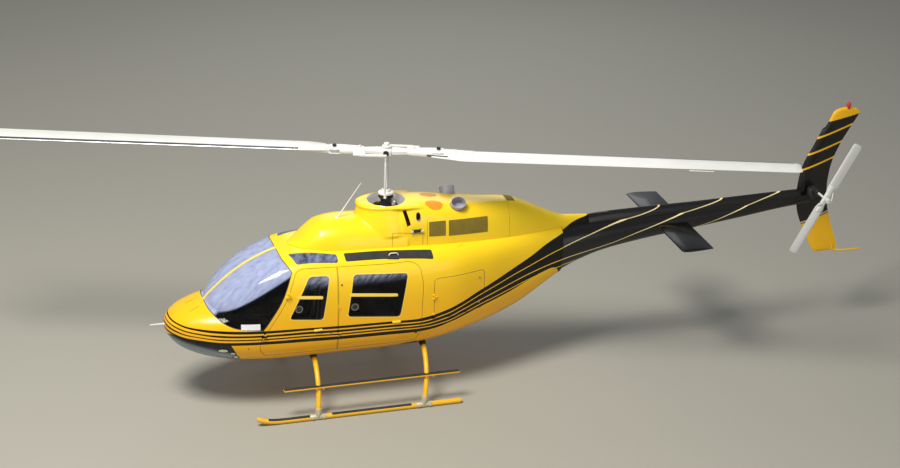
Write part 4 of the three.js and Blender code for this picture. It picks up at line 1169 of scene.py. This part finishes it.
tail_parts = [rod("shaft", (0, .21, 0), (0, -.045, 0), .0165, 24),
              planed("teeter", -.032, .032, -.022, .022, -.1, .1, .006),
              rod("crosshead", (0, -.095, 0), (0, -.06, 0), .036, 28, .004),
              rod("nut", (0, -.06, 0), (0, -.02, 0), .024, 6),
              planed("crosshead_arm", -.062, .062, -.09, -.078, -.012, .012, .003)]
TAIL_BLADE = [[.088, .74, .011], [.1, .78, .0112], [.15, 1, .01], [.4, 1, .0088], [.78, 1, .0072],
              [.81, .93, .0055], [.826, .7, .003]]
for k in (1, -1):
    tail_parts += [lofted("tail_blade", [[[k * c, h, k * r] for c, h in aerofoil(-.06 * w, .073 * w, t, 15)]
                                         for r, w, t in TAIL_BLADE]),
                   planed("root_plate", -.03, .03, -.019, .019, *between(k, .07, .19), .004),
                   rod("pitch_link", (k * .055, -.084, 0), (k * .05, -.01, k * .12), .006, 12)]
tail_rotor = smooth(joined("tail_rotor_blades", *tail_parts))
tail_rotor.data.transform(Matrix.Translation((TX, TY, TZ)) @ Matrix.Rotation(.5, 4, "Y"))
fit(tail_rotor, "tail_rotor_assembly", white, nodes=["tail_rotor"])

# ---------------------------------------------------------------- skids, cross tubes and steps
# Aluminium tube bent and heat treated: two cross tubes clamped under the belly carry the skid tubes in
# saddles. Long steps run between the legs. Yellow enamel, with black anti-slip tread and rubber seals.
SKID_Y, SKID_R, GROUND = .94, .0328, -.62
SIDES = (("left", -1), ("right", 1))
LEGS = (("front", 1.725), ("rear", 3.085))
frame_yellow = enamel("gear_enamel", "fdd030", "fbc01c", deep="e2a80e")
tread = Finish("antislip_tread")
tread_spot, _ = tread.place()
tread_grit = tread.noise(tread_spot, 260, 2)
tread_worn = tread.noise(tread_spot, 9, 4)
tread.wire(Base_Color=tread.blend(tread_worn * tread_grit * 1.4, "101112", "46474a"),
           Roughness=.8 + tread_grit * .1)
tread.raise_by(tread_grit, .001, .9)
cast_clamp = mottled("clamp_paint", "e3dcc0", "a49a7c", 45, 5, rough=(.4, .2), Metallic=.3)


def leg_path(x):
    lean, up = (.06, 0.0) if x < 2.4 else (.11, .03)
    half = [[-SKID_Y, -.56], [-.93, -.5], [-.885, -.38], [-.79, -.225], [-.65, -.095],
            [-.5, up * .4 - .012], [-.38, up * .8 + .022], [-.2, up + .034]]
    rows = half + [[0, up + .035]] + [[-y, z] for y, z in half[::-1]]
    return [[x + lean * min(1, (z + .56) / .54), y, z] for y, z in rows]


SKID = [[.957, .012, .0665], [.96, .019, .064], [.975, .03, .057], [1.01, SKID_R, .041],
        [1.08, SKID_R, .02], [1.18, SKID_R, .005], [1.3, SKID_R, 0], [2.4, SKID_R, 0], [3.55, SKID_R, 0],
        [3.57, .029, 0], [3.58, .02, 0]]
skid_radius, skid_rise = fair_columns(SKID)
skid_mid = GROUND + .034 * math.cos(math.pi / 12)
skid_x = [.957, .96, .967] + span(.98, 1.3, .04) + [2, 3, 3.55, 3.562, 3.573, 3.58]
tread_turn = np.radians(span(38, 142, 8))
for side, s in SIDES:
    tube = lofted(f"skid_tube_{side}", [
        [[x, s * SKID_Y + float(skid_radius(x)) * math.cos(t),
          skid_mid + float(skid_rise(x)) + float(skid_radius(x)) * math.sin(t)] for t in angles(28)]
        for x in skid_x])
    fasten(tube, frame_yellow, f"skid_{side}", angle=40)
    treads = [lofted("tread", [
        [[x, s * SKID_Y + r * math.cos(t), skid_mid + float(skid_rise(x)) + r * math.sin(t)]
         for r, turn in ((SKID_R + .0022, tread_turn), (SKID_R - .001, tread_turn[::-1])) for t in turn]
        for x in span(x0, x1, .06)]) for x0, x1 in ((1.1, 1.62), (1.9, 2.92))]
    fasten(joined(f"skid_tread_{side}", *treads), tread, angle=50)
    clamps, y = [], s * SKID_Y
    for _, x in LEGS:
        clamps += [rod("band", (x + dx - .016, y, skid_mid), (x + dx + .016, y, skid_mid),
                       SKID_R + .0035, 28, .001) for dx in (-.075, .075)]
        clamps += [rod("saddle", (x - .1, y, skid_mid + .004), (x + .1, y, skid_mid + .004),
                       SKID_R + .0018, 28, .001),
                   rod("socket", (x, y, skid_mid + .01), (x + .008, s * (SKID_Y - .008), -.47),
                       .0375, 28, .004),
                   *[rod("bolt", (x + dx, s * (SKID_Y + .03), skid_mid - .004),
                         (x + dx, s * (SKID_Y + .044), skid_mid - .004), .007, 6) for dx in (-.075, .075)]]
    saddle = joined(f"skid_saddles_{side}", *clamps)
    at = points(saddle)
    at[:, 2] = np.maximum(at[:, 2], GROUND)
    move_points(saddle, at)
    fasten(saddle, cast_clamp)
    step = planed("step", 1.318, 3.57, *between(s, .8, .868), -.24, -.2195, .006)
    straps = [rod("strap", (x, s * .79, -.243), (x, s * .885, -.243), .006, 12)
              for x in (1.725, 1.81, 3.13, 3.22)]
    fasten(joined(f"step_bar_{side}", step, *straps), frame_yellow, f"step_{side}", angle=40)
    step_tread = planed(f"step_tread_{side}", 1.322, 3.566, *between(s, .803, .865), -.2205, -.2172, .001)
    fit(step_tread, "airframe", tread)
for name, x in LEGS:
    tube = swept(f"cross_tube_skin_{name}", leg_path(x), .031, 28, 5)
    fasten(tube, frame_yellow, f"cross_tube_{name}", angle=40)
    path = np.array(flowing(leg_path(x), 12))
    for side, s in SIDES:
        near = [p for p in path if .36 < s * p[1] < .5]
        collar_line = [near[i] for i in np.linspace(0, len(near) - 1, 4).astype(int)]
        boot = swept(f"leg_boot_{name}_{side}", collar_line, [.036, .04, .047, .054][::-s], 24, 3)
        fasten(boot, rubber, angle=40)
tail_skid = swept("tail_skid_bar", [
    [x, FIN_Y, z] for x, z in ((9.06, .58), (9.075, .54), (9.095, .487), (9.18, .462), (9.32, .453),
                               (9.46, .45), (9.5, .4502))], [.014] * 6 + [.009], 16, 6)
fasten(tail_skid, frame_yellow, "tail_skid", angle=40)

# ---------------------------------------------------------------- cabin floor, posts and controls
# A flat honeycomb floor with two raised seat boxes, the pillar between the doors, and the instrument
# pod on its pedestal with two sticks and pedals. Moulded black plastic and grey carpet.
carpet = Finish("carpet", Roughness=.95)
carpet_spot, _ = carpet.place()
carpet_pile = carpet.noise(carpet_spot, 600, 2)
carpet.wire(Base_Color=carpet.blend(carpet_pile * .7 + carpet.noise(carpet_spot, 6, 3) * .3, "2e3033",
                                    "56575a"))
carpet.raise_by(carpet_pile, .002, .8)
plastic = Finish("moulded_plastic")
plastic_spot, _ = plastic.place()
plastic_grain = plastic.noise(plastic_spot, 700, 2)
plastic.wire(Base_Color=plastic.blend(plastic.noise(plastic_spot, 12, 4), "1b1c1e", "2b2c2f"),
             Roughness=.5 + plastic_grain * .15)
plastic.raise_by(plastic_grain, .0004, .5)
FLOOR_Z = .08
deck = planed("cabin_deck", .96, 3.1, -.57, .57, FLOOR_Z, FLOOR_Z + .022, .004)
kept_inside(deck, hull_body(.9, 3.15, .0345))
boxes = [planed("box", x0, x1, y0, y1, FLOOR_Z, .24, .01) for x0, x1, y0, y1 in
         ((1.46, 1.94, -.13, -.5), (1.46, 1.94, .13, .5), (2.64, 3.1, -.53, .53))]
fasten(joined("cabin_deck", deck, *boxes), carpet, "cabin_floor", angle=40)

for side, s in SIDES:
    pillar_clock = span(112, 214, 3) if s < 0 else span(-34, 68, 3)
    pillar = formed_skin(f"door_pillar_{side}", span(1.995, 2.095, .02), pillar_clock, depth=.034)
    cut(pillar, slab(1.9, 2.2, -1, .103), slab(1.9, 2.2, 1.215, 2))
    for x0, x1, deep in ((2.0425, 2.0475, .001), (2.021, 2.069, JAMB)):
        rib = formed_skin("rib", span(x0, x1, .005), pillar_clock, depth=deep, wall=.036 - deep)
        cut(rib, slab(1.9, 2.2, -1, .152), slab(1.9, 2.2, 1.24, 2))
        pillar = joined(f"door_pillar_{side}", pillar, rib)
    fasten(pillar, yellow, f"door_post_{side}", angle=40)

pod = broken_edges(sawn([[.86, .47], [.825, .64], [.832, .74], [.85, .768], [.9, .772], [.925, .72],
                         [.955, .52], [.94, .47]], -.33, .33), .012, 3)
pedestal = broken_edges(sawn([[.9, .1025], [.885, .5], [.95, .51], [1.01, .44], [1.31, .335], [1.34, .31],
                              [1.345, .1025]], -.105, .105), .008)
hood = sawn([[.815, .775], [.9, .79], [.975, .778], [.978, .768], [.9, .777], [.82, .765]], -.35, .35)
fasten(joined("instrument_pod", pod, pedestal, hood), plastic, "instrument_console")
dial_rings, dial_faces = [], []
for row, (dz, count, radius) in enumerate(((.145, 6, .036), (.06, 6, .036), (-.02, 5, .028))):
    for k in range(count):
        y, z = (k - (count - 1) / 2) * .1, .59 + dz
        x = .955 - (z - .52) * .15
        dial_rings.append(rod("dial_ring", (x - .012, y, z), (x + .008, y, z), radius, 28, .002))
        dial_faces.append(rod("dial_face", (x, y, z), (x + .0088, y, z), radius * .84, 28, .0005))
fasten(joined("dial_bezels", *dial_rings), plastic)
dial_white = Finish("dial_marks", Roughness=.3)
dial_spot, (_, dial_y, _) = dial_white.place()
cell = dial_white.node("Math", {"operation": "WRAP"}, [dial_y, -.05, .05])
mark = (abs(cell) < .003) * (dial_white.noise(dial_spot, 22, 1) > .4)
dial_white.wire(Base_Color=dial_white.blend(mark, "0d0e10", "e9e8e0"))
fasten(joined("dial_faces", *dial_faces), dial_white)
card = formed_skin("blank_card", span(.8, 1.14, .02), span(140, 182, 1.5), depth=-.0008, wall=.0042)
kept_inside(card, sawn([[.848, .533], [.848, .606], [1.076, .607], [1.077, .527]], high=-.2))
gloss(card, -.0008)
fit(card, "airframe", mottled("card_stock", "fdfcff", "efeef6", 50, 3, Roughness=.7))
for side, s in SIDES:
    stick = joined(f"control_stick_{side}",
                   swept("stick", [[1.33, s * .32, .1025], [1.3, s * .32, .3], [1.34, s * .31, .47],
                                   [1.38, s * .3, .6], [1.37, s * .3, .64]], .0135, 16, 5),
                   swept("grip", [[1.375, s * .3, .6], [1.37, s * .3, .66], [1.355, s * .3, .72]],
                         [.017, .021, .019], 16, 4))
    fasten(stick, plastic, angle=40)
    feet = [s * .32 + d for d in (-.09, .09)]
    pedals = [swept("arm", [[.9, y, .104], [.86, y, .2], [.84, y, .27]], .009, 12, 4) for y in feet]
    pedals += [planed("pad", .828, .85, y - .035, y + .035, .23, .31, .004) for y in feet]
    fasten(joined(f"pedals_{side}", *pedals), plastic, angle=40)

# ---------------------------------------------------------------- seats
# Foam cushions in dark woven covers, sewn in channels: a squab and a back rest for each front seat
# and for the three-place bench behind, laid on the boxes of the cabin floor.
cloth_cover = Finish("woven_cover")
cover_spot, (cover_x, cover_y, cover_z) = cloth_cover.place()
THREADS = 1900    # turns of the weave, in radians a metre
weave = (cover_y * THREADS).sine() * ((cover_x + cover_z) * THREADS).sine() * .5 + .5
cover_fade = cloth_cover.noise(cover_spot, 5, 4)
cloth_cover.wire(Base_Color=cloth_cover.blend(weave * .35 + cover_fade * .5, "2b2c33", "6b6d78"),
                 Roughness=.82 + weave * .1)
cloth_cover.raise_by(weave, .0006, .6)
AIR_STEPS, MOST_PUSH, CHANNEL = 20, .014, .012    # frames of air, then metres of swelling and of seam


def cushion(name, side_view, y0, y1, channels=(), voxel=.011, node=()):
    """A stuffed cushion: its cut shape is filled with a soft push of air, then sewn in channels."""
    pad = named(sawn(drawn_in(rounded(side_view, .03, 4), .012), y0 + .014, y1 - .014), name)
    broken_edges(pad, .016)
    apply(pad, "REMESH", mode="VOXEL", voxel_size=voxel)
    before = points(pad)
    alone(pad)
    bpy.ops.object.modifier_add(type="CLOTH")
    cloth = pad.modifiers[-1]
    cloth.settings.use_pressure = True
    cloth.settings.uniform_pressure_force = 4
    cloth.settings.effector_weights.gravity = 0
    cloth.settings.quality = 4
    for count in range(1, AIR_STEPS + 1):
        bpy.context.scene.frame_set(count)
    bpy.ops.object.modifier_apply(modifier=cloth.name)
    bpy.context.scene.frame_set(1)
    push = points(pad) - before
    size = np.linalg.norm(push, axis=1, keepdims=True)
    after = before + push * np.minimum(1, MOST_PUSH / np.maximum(size, 1e-9))
    low = np.min([z for _, z in side_view]) + .002
    after[:, 2] = np.maximum(after[:, 2], low)
    for y in channels:
        dent = np.exp(-((after[:, 1] - y) / .011) ** 2) * CHANNEL
        inward = after.mean(0) - after
        inward[:, 1] = 0
        inward /= np.maximum(np.linalg.norm(inward, axis=1, keepdims=True), 1e-6)
        after += inward * dent[:, None]
    move_points(pad, after)
    apply(pad, "SMOOTH", factor=.5, iterations=2)
    apply(pad, "SUBSURF", levels=1, render_levels=1)
    alone(pad)
    bpy.ops.object.shade_smooth()
    fit(pad, "airframe", cloth_cover, nodes=node)


SQUAB = [[1.422, .245], [1.428, .375], [1.48, .4], [1.8, .388], [1.815, .245]]
BACK_REST = [[1.835, .4], [1.9, .955], [1.94, .975], [1.978, .965], [1.98, .92], [1.935, .262],
             [1.835, .255]]
for side, s in SIDES:
    y0, y1 = between(s, .135, .53)
    thirds = [y0 + (y1 - y0) * k / 3 for k in (1, 2)]
    cushion(f"front_squab_{side}", SQUAB, y0, y1, thirds, node=[f"front_seat_{side}"])
    cushion(f"front_back_rest_{side}", BACK_REST, y0, y1, thirds)
BENCH = [[2.592, .245], [2.6, .39], [2.65, .415], [2.9, .402], [2.915, .245]]
BENCH_BACK = [[2.935, .41], [2.992, .98], [3.03, 1.0], [3.075, .985], [3.085, .94], [3.08, .262],
              [2.935, .255]]
sewn = (-.36, -.18, 0, .18, .36)
cushion("bench_squab", BENCH, -.53, .53, sewn, .0135, node=["rear_bench"])
cushion("bench_back_rest", BENCH_BACK, -.53, .53, sewn, .0135)

# ---------------------------------------------------------------- exhaust stacks and engine
# Two oval steel stacks turn the exhaust up and outwards through the cowl; heat has left them a dull
# straw grey. The turbine itself shows only as a dark mass through the slots.
burnt = mottled("burnt_steel", "c6c2d0", "8f8b94", 18, 5, rough=(.38, .25), Metallic=.2)
engine_parts = [planed("engine_block", 3.26, 4.12, -.18, .18, 1.38, 1.56, .03)]
for s in (-1, 1):
    engine_parts.append(cut(stack_bore(s, .079, -.2, .122), stack_bore(s, .0745, .012, .3)))
    engine_parts += [cut(stack_bore(s, .0815, high, high + .012),
                         stack_bore(s, .0765, high - .01, high + .03)) for high in (.0, .107)]
fasten(joined("engine_and_stacks", *engine_parts), burnt, "engine")

# ---------------------------------------------------------------- cowl fittings
# Flush discs over the filler necks, cooling screens and an access panel on each side, each with its
# latch, and a vent on the tail of the cowl: sheet parts riveted or bonded to the mouldings.


def bonded(name, finish, *tools):
    """Thin plates on the mouldings, cut out where the tools reach through them."""
    piece = kept_inside(copy_of(over, name), joined("tools", *tools))
    return fasten(cut(piece, core, keep=True), finish, angle=40)


def each_side(outline):
    return [sawn(rounded(outline, .012, 4), *between(s, .2, .6)) for s in (-1, 1)]


screen = Finish("cooling_screen", Metallic=.2)
screen_spot, (screen_x, _, screen_z) = screen.place()
screen_rows = (screen_x * 900).sine() * (screen_z * 900).sine()
screen_dust = screen.noise(screen_spot, 12, 5)
screen.wire(Base_Color=screen.blend((screen_rows > .1) * .55 + screen_dust * .3, "a08a2e", "3f3718"),
            Roughness=.6 + screen_dust * .25)
screen.raise_by(screen_rows, .0012, .7)
amber = mottled("amber_disc", "f0a312", "c9801a", 16, 5, rough=(.35, .3), Coat_Weight=.2)
bonded("cooling_screens", screen, *each_side([[3.27, 1.44], [3.27, 1.63], [3.49, 1.625], [3.49, 1.43]]),
       *each_side([[3.53, 1.42], [3.53, 1.62], [4.06, 1.6], [4.06, 1.4]]))
bonded("filler_discs", amber, *[sawn(ellipse(3.373, y, a, b, 40), 1.6, 2, "z")
                                for y, a, b in ((.055, .11, .065), (-.212, .113, .08))])
bonded("cowl_vent", screen, sawn(rounded([[4.367, -.1], [4.367, .1], [4.48, .085], [4.48, -.085]], .012, 4),
                                 1.6, 2, "z"))
bpy.data.objects.remove(over)
bpy.data.objects.remove(core)
SIGHT_X, SIGHT_Z = 3.138, 1.705
rims, latches, ends = [], [], []
for s in (-1, 1):
    outer_ring, inner_ring = (ellipse(SIGHT_X, SIGHT_Z, a, b, 32) for a, b in ((.036, .053), (.029, .046)))
    rim = cut(sawn(outer_ring, *between(s, .3655, .376)), sawn(inner_ring, *between(s, .3, .5)))
    high, low, fore, aft = (
        cowl.ray_cast(Vector((x, s * PAST, z)) + STATION_ZERO, Vector((0, -s, 0)))[1].y
        for x, z in ((SIGHT_X, 1.765), (SIGHT_X, 1.645), (3.09, SIGHT_Z), (3.186, SIGHT_Z)))
    at = points(rim)
    at[:, 1] += ((high + low) / 2 - s * .3688 + (at[:, 2] - SIGHT_Z) * (high - low) / .12
                 + (at[:, 0] - SIGHT_X) * (aft - fore) / .096)
    move_points(rim, at)
    rims.append(rim)
    latches.append(planed("latch", 3.04, 3.18, *between(s, .38, .394), 1.516, 1.556, .004))
    ends += [planed("end", x, x + .034, *between(s, .384, .3975), 1.52, 1.552, .003) for x in (3.03, 3.158)]
for name, parts, finish in (("cowl_sight_rims", rims, steel), ("cowl_latches", latches, rubber),
                            ("cowl_latch_ends", ends, white)):
    fasten(joined(name, *parts), finish)
for side, s in SIDES:
    scoop = lofted(f"drain_scoop_{side}", [
        [[x, s * (y + w), z]
         for w, z in ((-.03, 1.32), (.03 * k, 1.31 - .02 * k), (.05 * k, 1.285 - .03 * k), (-.03, 1.24))]
        for x, y, k in ((3.54, .4, .1), (3.57, .4, .7), (3.6, .4, 1), (3.65, .4, .7), (3.695, .39, .1))])
    fasten(scoop, yellow, angle=30)
whip = [turned("pad", [[.034, 1.652], [.036, 1.66], [.034, 1.672], [.02, 1.682], [.002, 1.684]],
               2.172, -.05, 28),
        swept("whip", [[2.168, -.05, 1.655], [2.21, -.05, 1.714], [2.34, -.05, 1.904],
                       [2.479, -.05, 2.105]], [.011, .0095, .007, .0048], 14, 6),
        rod("ferrule", (2.178, -.05, 1.668), (2.214, -.05, 1.72), .0105, 16, .002)]
fasten(joined("whip_base", *whip), white, "whip_antenna", angle=40)
pitot = [swept("tube", [[.06, 0, .441], [-.02, 0, .4435], [-.12, 0, .446], [-.172, 0, .4475]],
               [.0135, .012, .0095, .006], 18, 5),
         rod("foot", (.045, 0, .4412), (-.008, 0, .443), .017, 20, .003)]
fasten(joined("pitot_probe", *pitot), white, "pitot_tube", angle=40)

# ---------------------------------------------------------------- trim on the doors and the hull
# Window retainers, snap vents, handles, hinges, the anti-slip walkway under the cowl, static ports and
# small plates: pressed or cast parts screwed to the skins.


def patch(name, outline, lift, body, finish, hole=None, way="y", grip=0.0, twin=True, clock=DOOR_CLOCK):
    """A thin plate formed to the hull inside this outline; the starboard one is its mirror image."""
    at = [p[0] for p in outline]
    skin = formed_skin(f"{name}_left", span(min(at) - .03, max(at) + .03, .02), clock, depth=-lift,
                       wall=lift + grip)
    depths = (-PAST, -.04) if way == "y" else (.2, 1.6)
    kept_inside(skin, sawn(outline, *depths, way))
    if hole:
        cut(skin, sawn(hole, *depths, way))
    for piece, side in pair(skin) if twin else ((skin, "left"),):
        gloss(piece, -lift)
        fit(piece, rides(body, side), finish)


# A paler yellow than the hull: painted highlight for the light caught along the raised window retainers and
# the windshield centre post cover; the window bars and door handles share it.
highlight_yellow = enamel("retainer_enamel", "ffe168", "ffd94e", deep="f2c021")
for where, window, bar, vent in (
        ("front", FRONT_WINDOW, [[1.535, .944], [1.853, .912], [1.853, .874], [1.53, .906]], (1.552, .768)),
        ("rear", REAR_WINDOW, [[2.19, .912], [2.8, .845], [2.8, .807], [2.188, .872]], (2.253, .725))):
    body = f"door_{where}"
    patch(f"{where}_window_retainer", drawn_in(window, -.007), .0014, body, highlight_yellow,
          hole=drawn_in(window, .0035))
    patch(f"{where}_window_bar", rounded(bar, .015, 4), .003, body, highlight_yellow, grip=.0035)
    patch(f"{where}_vent_ring", ellipse(*vent, .046), .0035, body, steel, hole=ellipse(*vent, .037),
          grip=.003)
    patch(f"{where}_vent_flap", ellipse(*vent, .0362), .0012, body, rubber, grip=.004)
post_cover = formed_skin("centre_post_cover", span(.43, 1.46, .012), span(83, 97, 1), depth=-.0016,
                         wall=.0016)
kept_inside(post_cover, block(.4, 1.5, -.026, .026, .5, 1.45), sawn(drawn_in(WIND, .004), -.1, .1))
gloss(post_cover, -.0016)
fit(post_cover, "airframe", highlight_yellow)
# Painted highlight: the lamp lenses are pale yellow-green to white for the bright reflections in the unlit
# landing lights.
lamp_lens = mottled("lamp_lens", "b9c384", "f3f1ea", 22, 3, Roughness=.08, Coat_Weight=.5)
lamp_clock = span(170, 268, 2)
for name, x, z, a, b in (("front", .633, .247, .056, .021), ("aft", .75, .203, .028, .015),
                         ("low", .795, .135, .03, .02)):
    patch(f"lamp_bezel_{name}", ellipse(x, z, a + .012, b + .011), .001, "airframe", rubber, twin=False,
          clock=lamp_clock)
    patch(f"lamp_lens_{name}", ellipse(x, z, a, b), .002, "airframe", lamp_lens, twin=False,
          clock=lamp_clock)
patch("windshield_bead", drawn_in(WIND, .0012), .0008, "airframe", rubber, hole=drawn_in(WIND, .0075),
      grip=.003, clock=span(92, 192, 1.5))
roof_side = span(106, 140, 1.5)
patch("walkway", rounded([[2.162, -.431], [3.274, -.461], [3.282, -.557], [2.168, -.537]], .02, 4), .0016,
      "airframe", tread, way="z", clock=roof_side)
patch("hand_hold_plate", rounded([[2.7, -.466], [2.86, -.462], [2.84, -.556], [2.684, -.55]], .012, 4),
      .0032, "airframe", rubber, way="z", clock=roof_side)
patch("side_panel", rounded([[3.143, .753], [3.143, .93], [3.262, .93], [3.262, .753]], .012, 3), .0012,
      "airframe", yellow)
patch("static_port", ellipse(.934, .276, .0085, count=16), .0016, "airframe", rubber)
patch("door_stud_plate", ellipse(1.951, .419, .014, count=16), .0045, "door_front", rubber)
patch("door_vent_stud", ellipse(2.091, 1.031, .011, count=16), .0045, "door_rear", rubber)
patch("door_edge_latch", rounded([[3.03, .268], [3.03, .296], [3.062, .3], [3.062, .27]], .006, 3), .005,
      "door_rear", rubber)
# Each nose louvre is a raised amber strip, its darker orange a painted shade for the slot under the
# louvre's hood.
for name, y in (("nose_louvre_port", -.19), ("nose_louvre_mid", .035)):
    louvre = formed_skin(name, span(.24, .46, .01), span(60, 130, 1), depth=-.003, wall=.003)
    slot = rounded([[.28, y], [.41, y + .04], [.414, y + .028], [.284, y - .012]], .004, 3)
    kept_inside(louvre, sawn(slot, .5, .9, "z"))
    gloss(louvre, -.003)
    fit(louvre, "airframe", amber)
for side, s in SIDES:
    rail = swept(f"hand_hold_rail_{side}", [[x, s * y, z] for x, y, z in (
        (2.715, .51, 1.29), (2.73, .515, 1.325), (2.77, .517, 1.33), (2.81, .517, 1.328),
        (2.826, .515, 1.32), (2.835, .51, 1.285))], .0075, 14, 4)
    fasten(rail, white, angle=40)
for where, x in (("front", 1.79), ("rear", 2.785)):
    lever = joined(f"{where}_handle_left",
                   planed("lever", x - .053, x + .053, -.689, -.679, .4565, .4785, .004),
                   *[planed("post", x + d - .01, x + d + .01, -.682, -.655, .4595, .4755, .002)
                     for d in (-.038, .038)],
                   planed("plate", x - .05, x + .05, -.6685, -.66, .457, .478, .002))
    for piece, side in pair(lever):
        fasten(piece, highlight_yellow, body=f"door_{where}_{side}", angle=40)

KNUCKLE = .0246    # from the middle of a hinge to the knuckle above or below it


def hinge_line(name, low, high, places, moving, reach, centred=False):
    """Knuckles and leaves of one port hinge line, either those on the door or those on the frame."""
    low, high = Vector(low), Vector(high)
    u = (high - low).normalized()
    aft_way = (Vector((1, 0, 0)) - u * u.x).normalized()
    out = u.cross(aft_way)
    out = -out if out.y > 0 else out
    a0, a1 = (-.003, .003) if centred else (.0045, .03) if moving else (-.026, 0)
    made = []
    for t in places:
        for w in (0,) if moving else (-KNUCKLE, KNUCKLE):
            made += [rod("knuckle", (0, 0, w - .012), (0, 0, w + .012), .006, 20, .001),
                     planed("leaf", a0, a1, .003 - reach, .003, w - .01, w + .01, .001)]
            for part in made[-2:]:
                part.data.transform(standing(low.lerp(high, t), aft_way, out, aft_way.cross(out)))
    piece = joined(name, *made)
    return smooth(piece if centred else cut(piece, inside, keep=True), 40)


inside = hull_body(1.02, 3.4, .0285)
for where, low, high, places, on_door, on_frame in (
        ("front", (1.112, -.662, .42), (1.438, -.67, .98), (.04, .96), .048, .052),
        ("rear", (2.046, -.668, .3), (2.046, -.668, .9), (.13, .73), .026, .06),
        ("baggage", (3.279, -.654, .4), (3.279, -.654, .9), (.16, .68), .046, .046)):
    leaf = hinge_line(f"{where}_door_hinge_left", low, high, places, True, on_door)
    frame_leaf = hinge_line(f"{where}_frame_hinge_left", low, high, places, False, on_frame,
                            where == "rear")
    if where == "baggage":
        fit(leaf, "door_baggage", yellow)
        fit(frame_leaf, "airframe", yellow)
    else:
        for piece, side in pair(leaf):
            fit(piece, f"door_{where}_{side}", yellow)
        for piece, side in pair(frame_leaf):
            fit(piece, "airframe", yellow)
bpy.data.objects.remove(inside)


def on_hull(piece, x, z):
    """A part drawn facing up at the origin, set square on the port side at this station and height."""
    turns = np.linspace(math.pi * .7, math.pi * 1.3, 900)
    turn = turns[np.argmin(np.abs(hull_surface(np.full(900, x), turns)[:, 2] - z))]
    spot, facing = (Vector(f(np.array([x]), np.array([turn]))[0]) for f in (hull_surface, hull_facing))
    along = (Vector((1, 0, 0)) - facing * facing.x).normalized()
    piece.data.transform(standing(spot, along, facing.cross(along), facing))
    return piece


studs = joined("baggage_door_latches", *[
    on_hull(rod("stud", (0, 0, -.002), (0, 0, .006), .013, 20, .002), 3.9, z) for z in (.55, .88)])
fasten(studs, steel, body="door_baggage")

# ---------------------------------------------------------------- belts
# Two shoulder belts at each front seat, of pale grey woven webbing. They are bolted behind the seat
# and hang over its back on to the squab.
webbing = Finish("belt_webbing", Roughness=.8)
web_spot, (_, web_y, _) = webbing.place()
web_rib = (web_y * 2400).sine()
web_shade = web_rib * .2 + webbing.noise(web_spot, 9, 4) * .5
webbing.wire(Base_Color=webbing.blend(web_shade, "9a9aa8", "5f606e"))
webbing.raise_by(web_rib, .0005, .5)


def belt(route, y0, y1, wide=.046, thick=.0022):
    """A flat strap laid along a route of station and height, from one side position to another."""
    line = np.array(flowing(route, 6))
    way = np.gradient(line, axis=0)
    way /= np.linalg.norm(way, axis=1)[:, None]
    corners = [(w * wide / 2, t * thick / 2) for w, t in ((-1, -1), (1, -1), (1, 1), (-1, 1))]
    return lofted("belt", [[[x + dz * t, y + w, z - dx * t] for w, t in corners]
                           for (x, z), (dx, dz), y in zip(line, way, np.linspace(y0, y1, len(line)))])


OVER_SEAT = [[2.0, .9], [1.985, .985], [1.93, .995], [1.875, .93], [1.84, .7], [1.812, .48], [1.79, .42]]
for side, s in SIDES:
    straps = [belt(OVER_SEAT, s * .333 + d, s * .333 + d * 1.5) for d in (-.09, .09)]
    fasten(joined(f"shoulder_belts_{side}", *straps), webbing, angle=50)
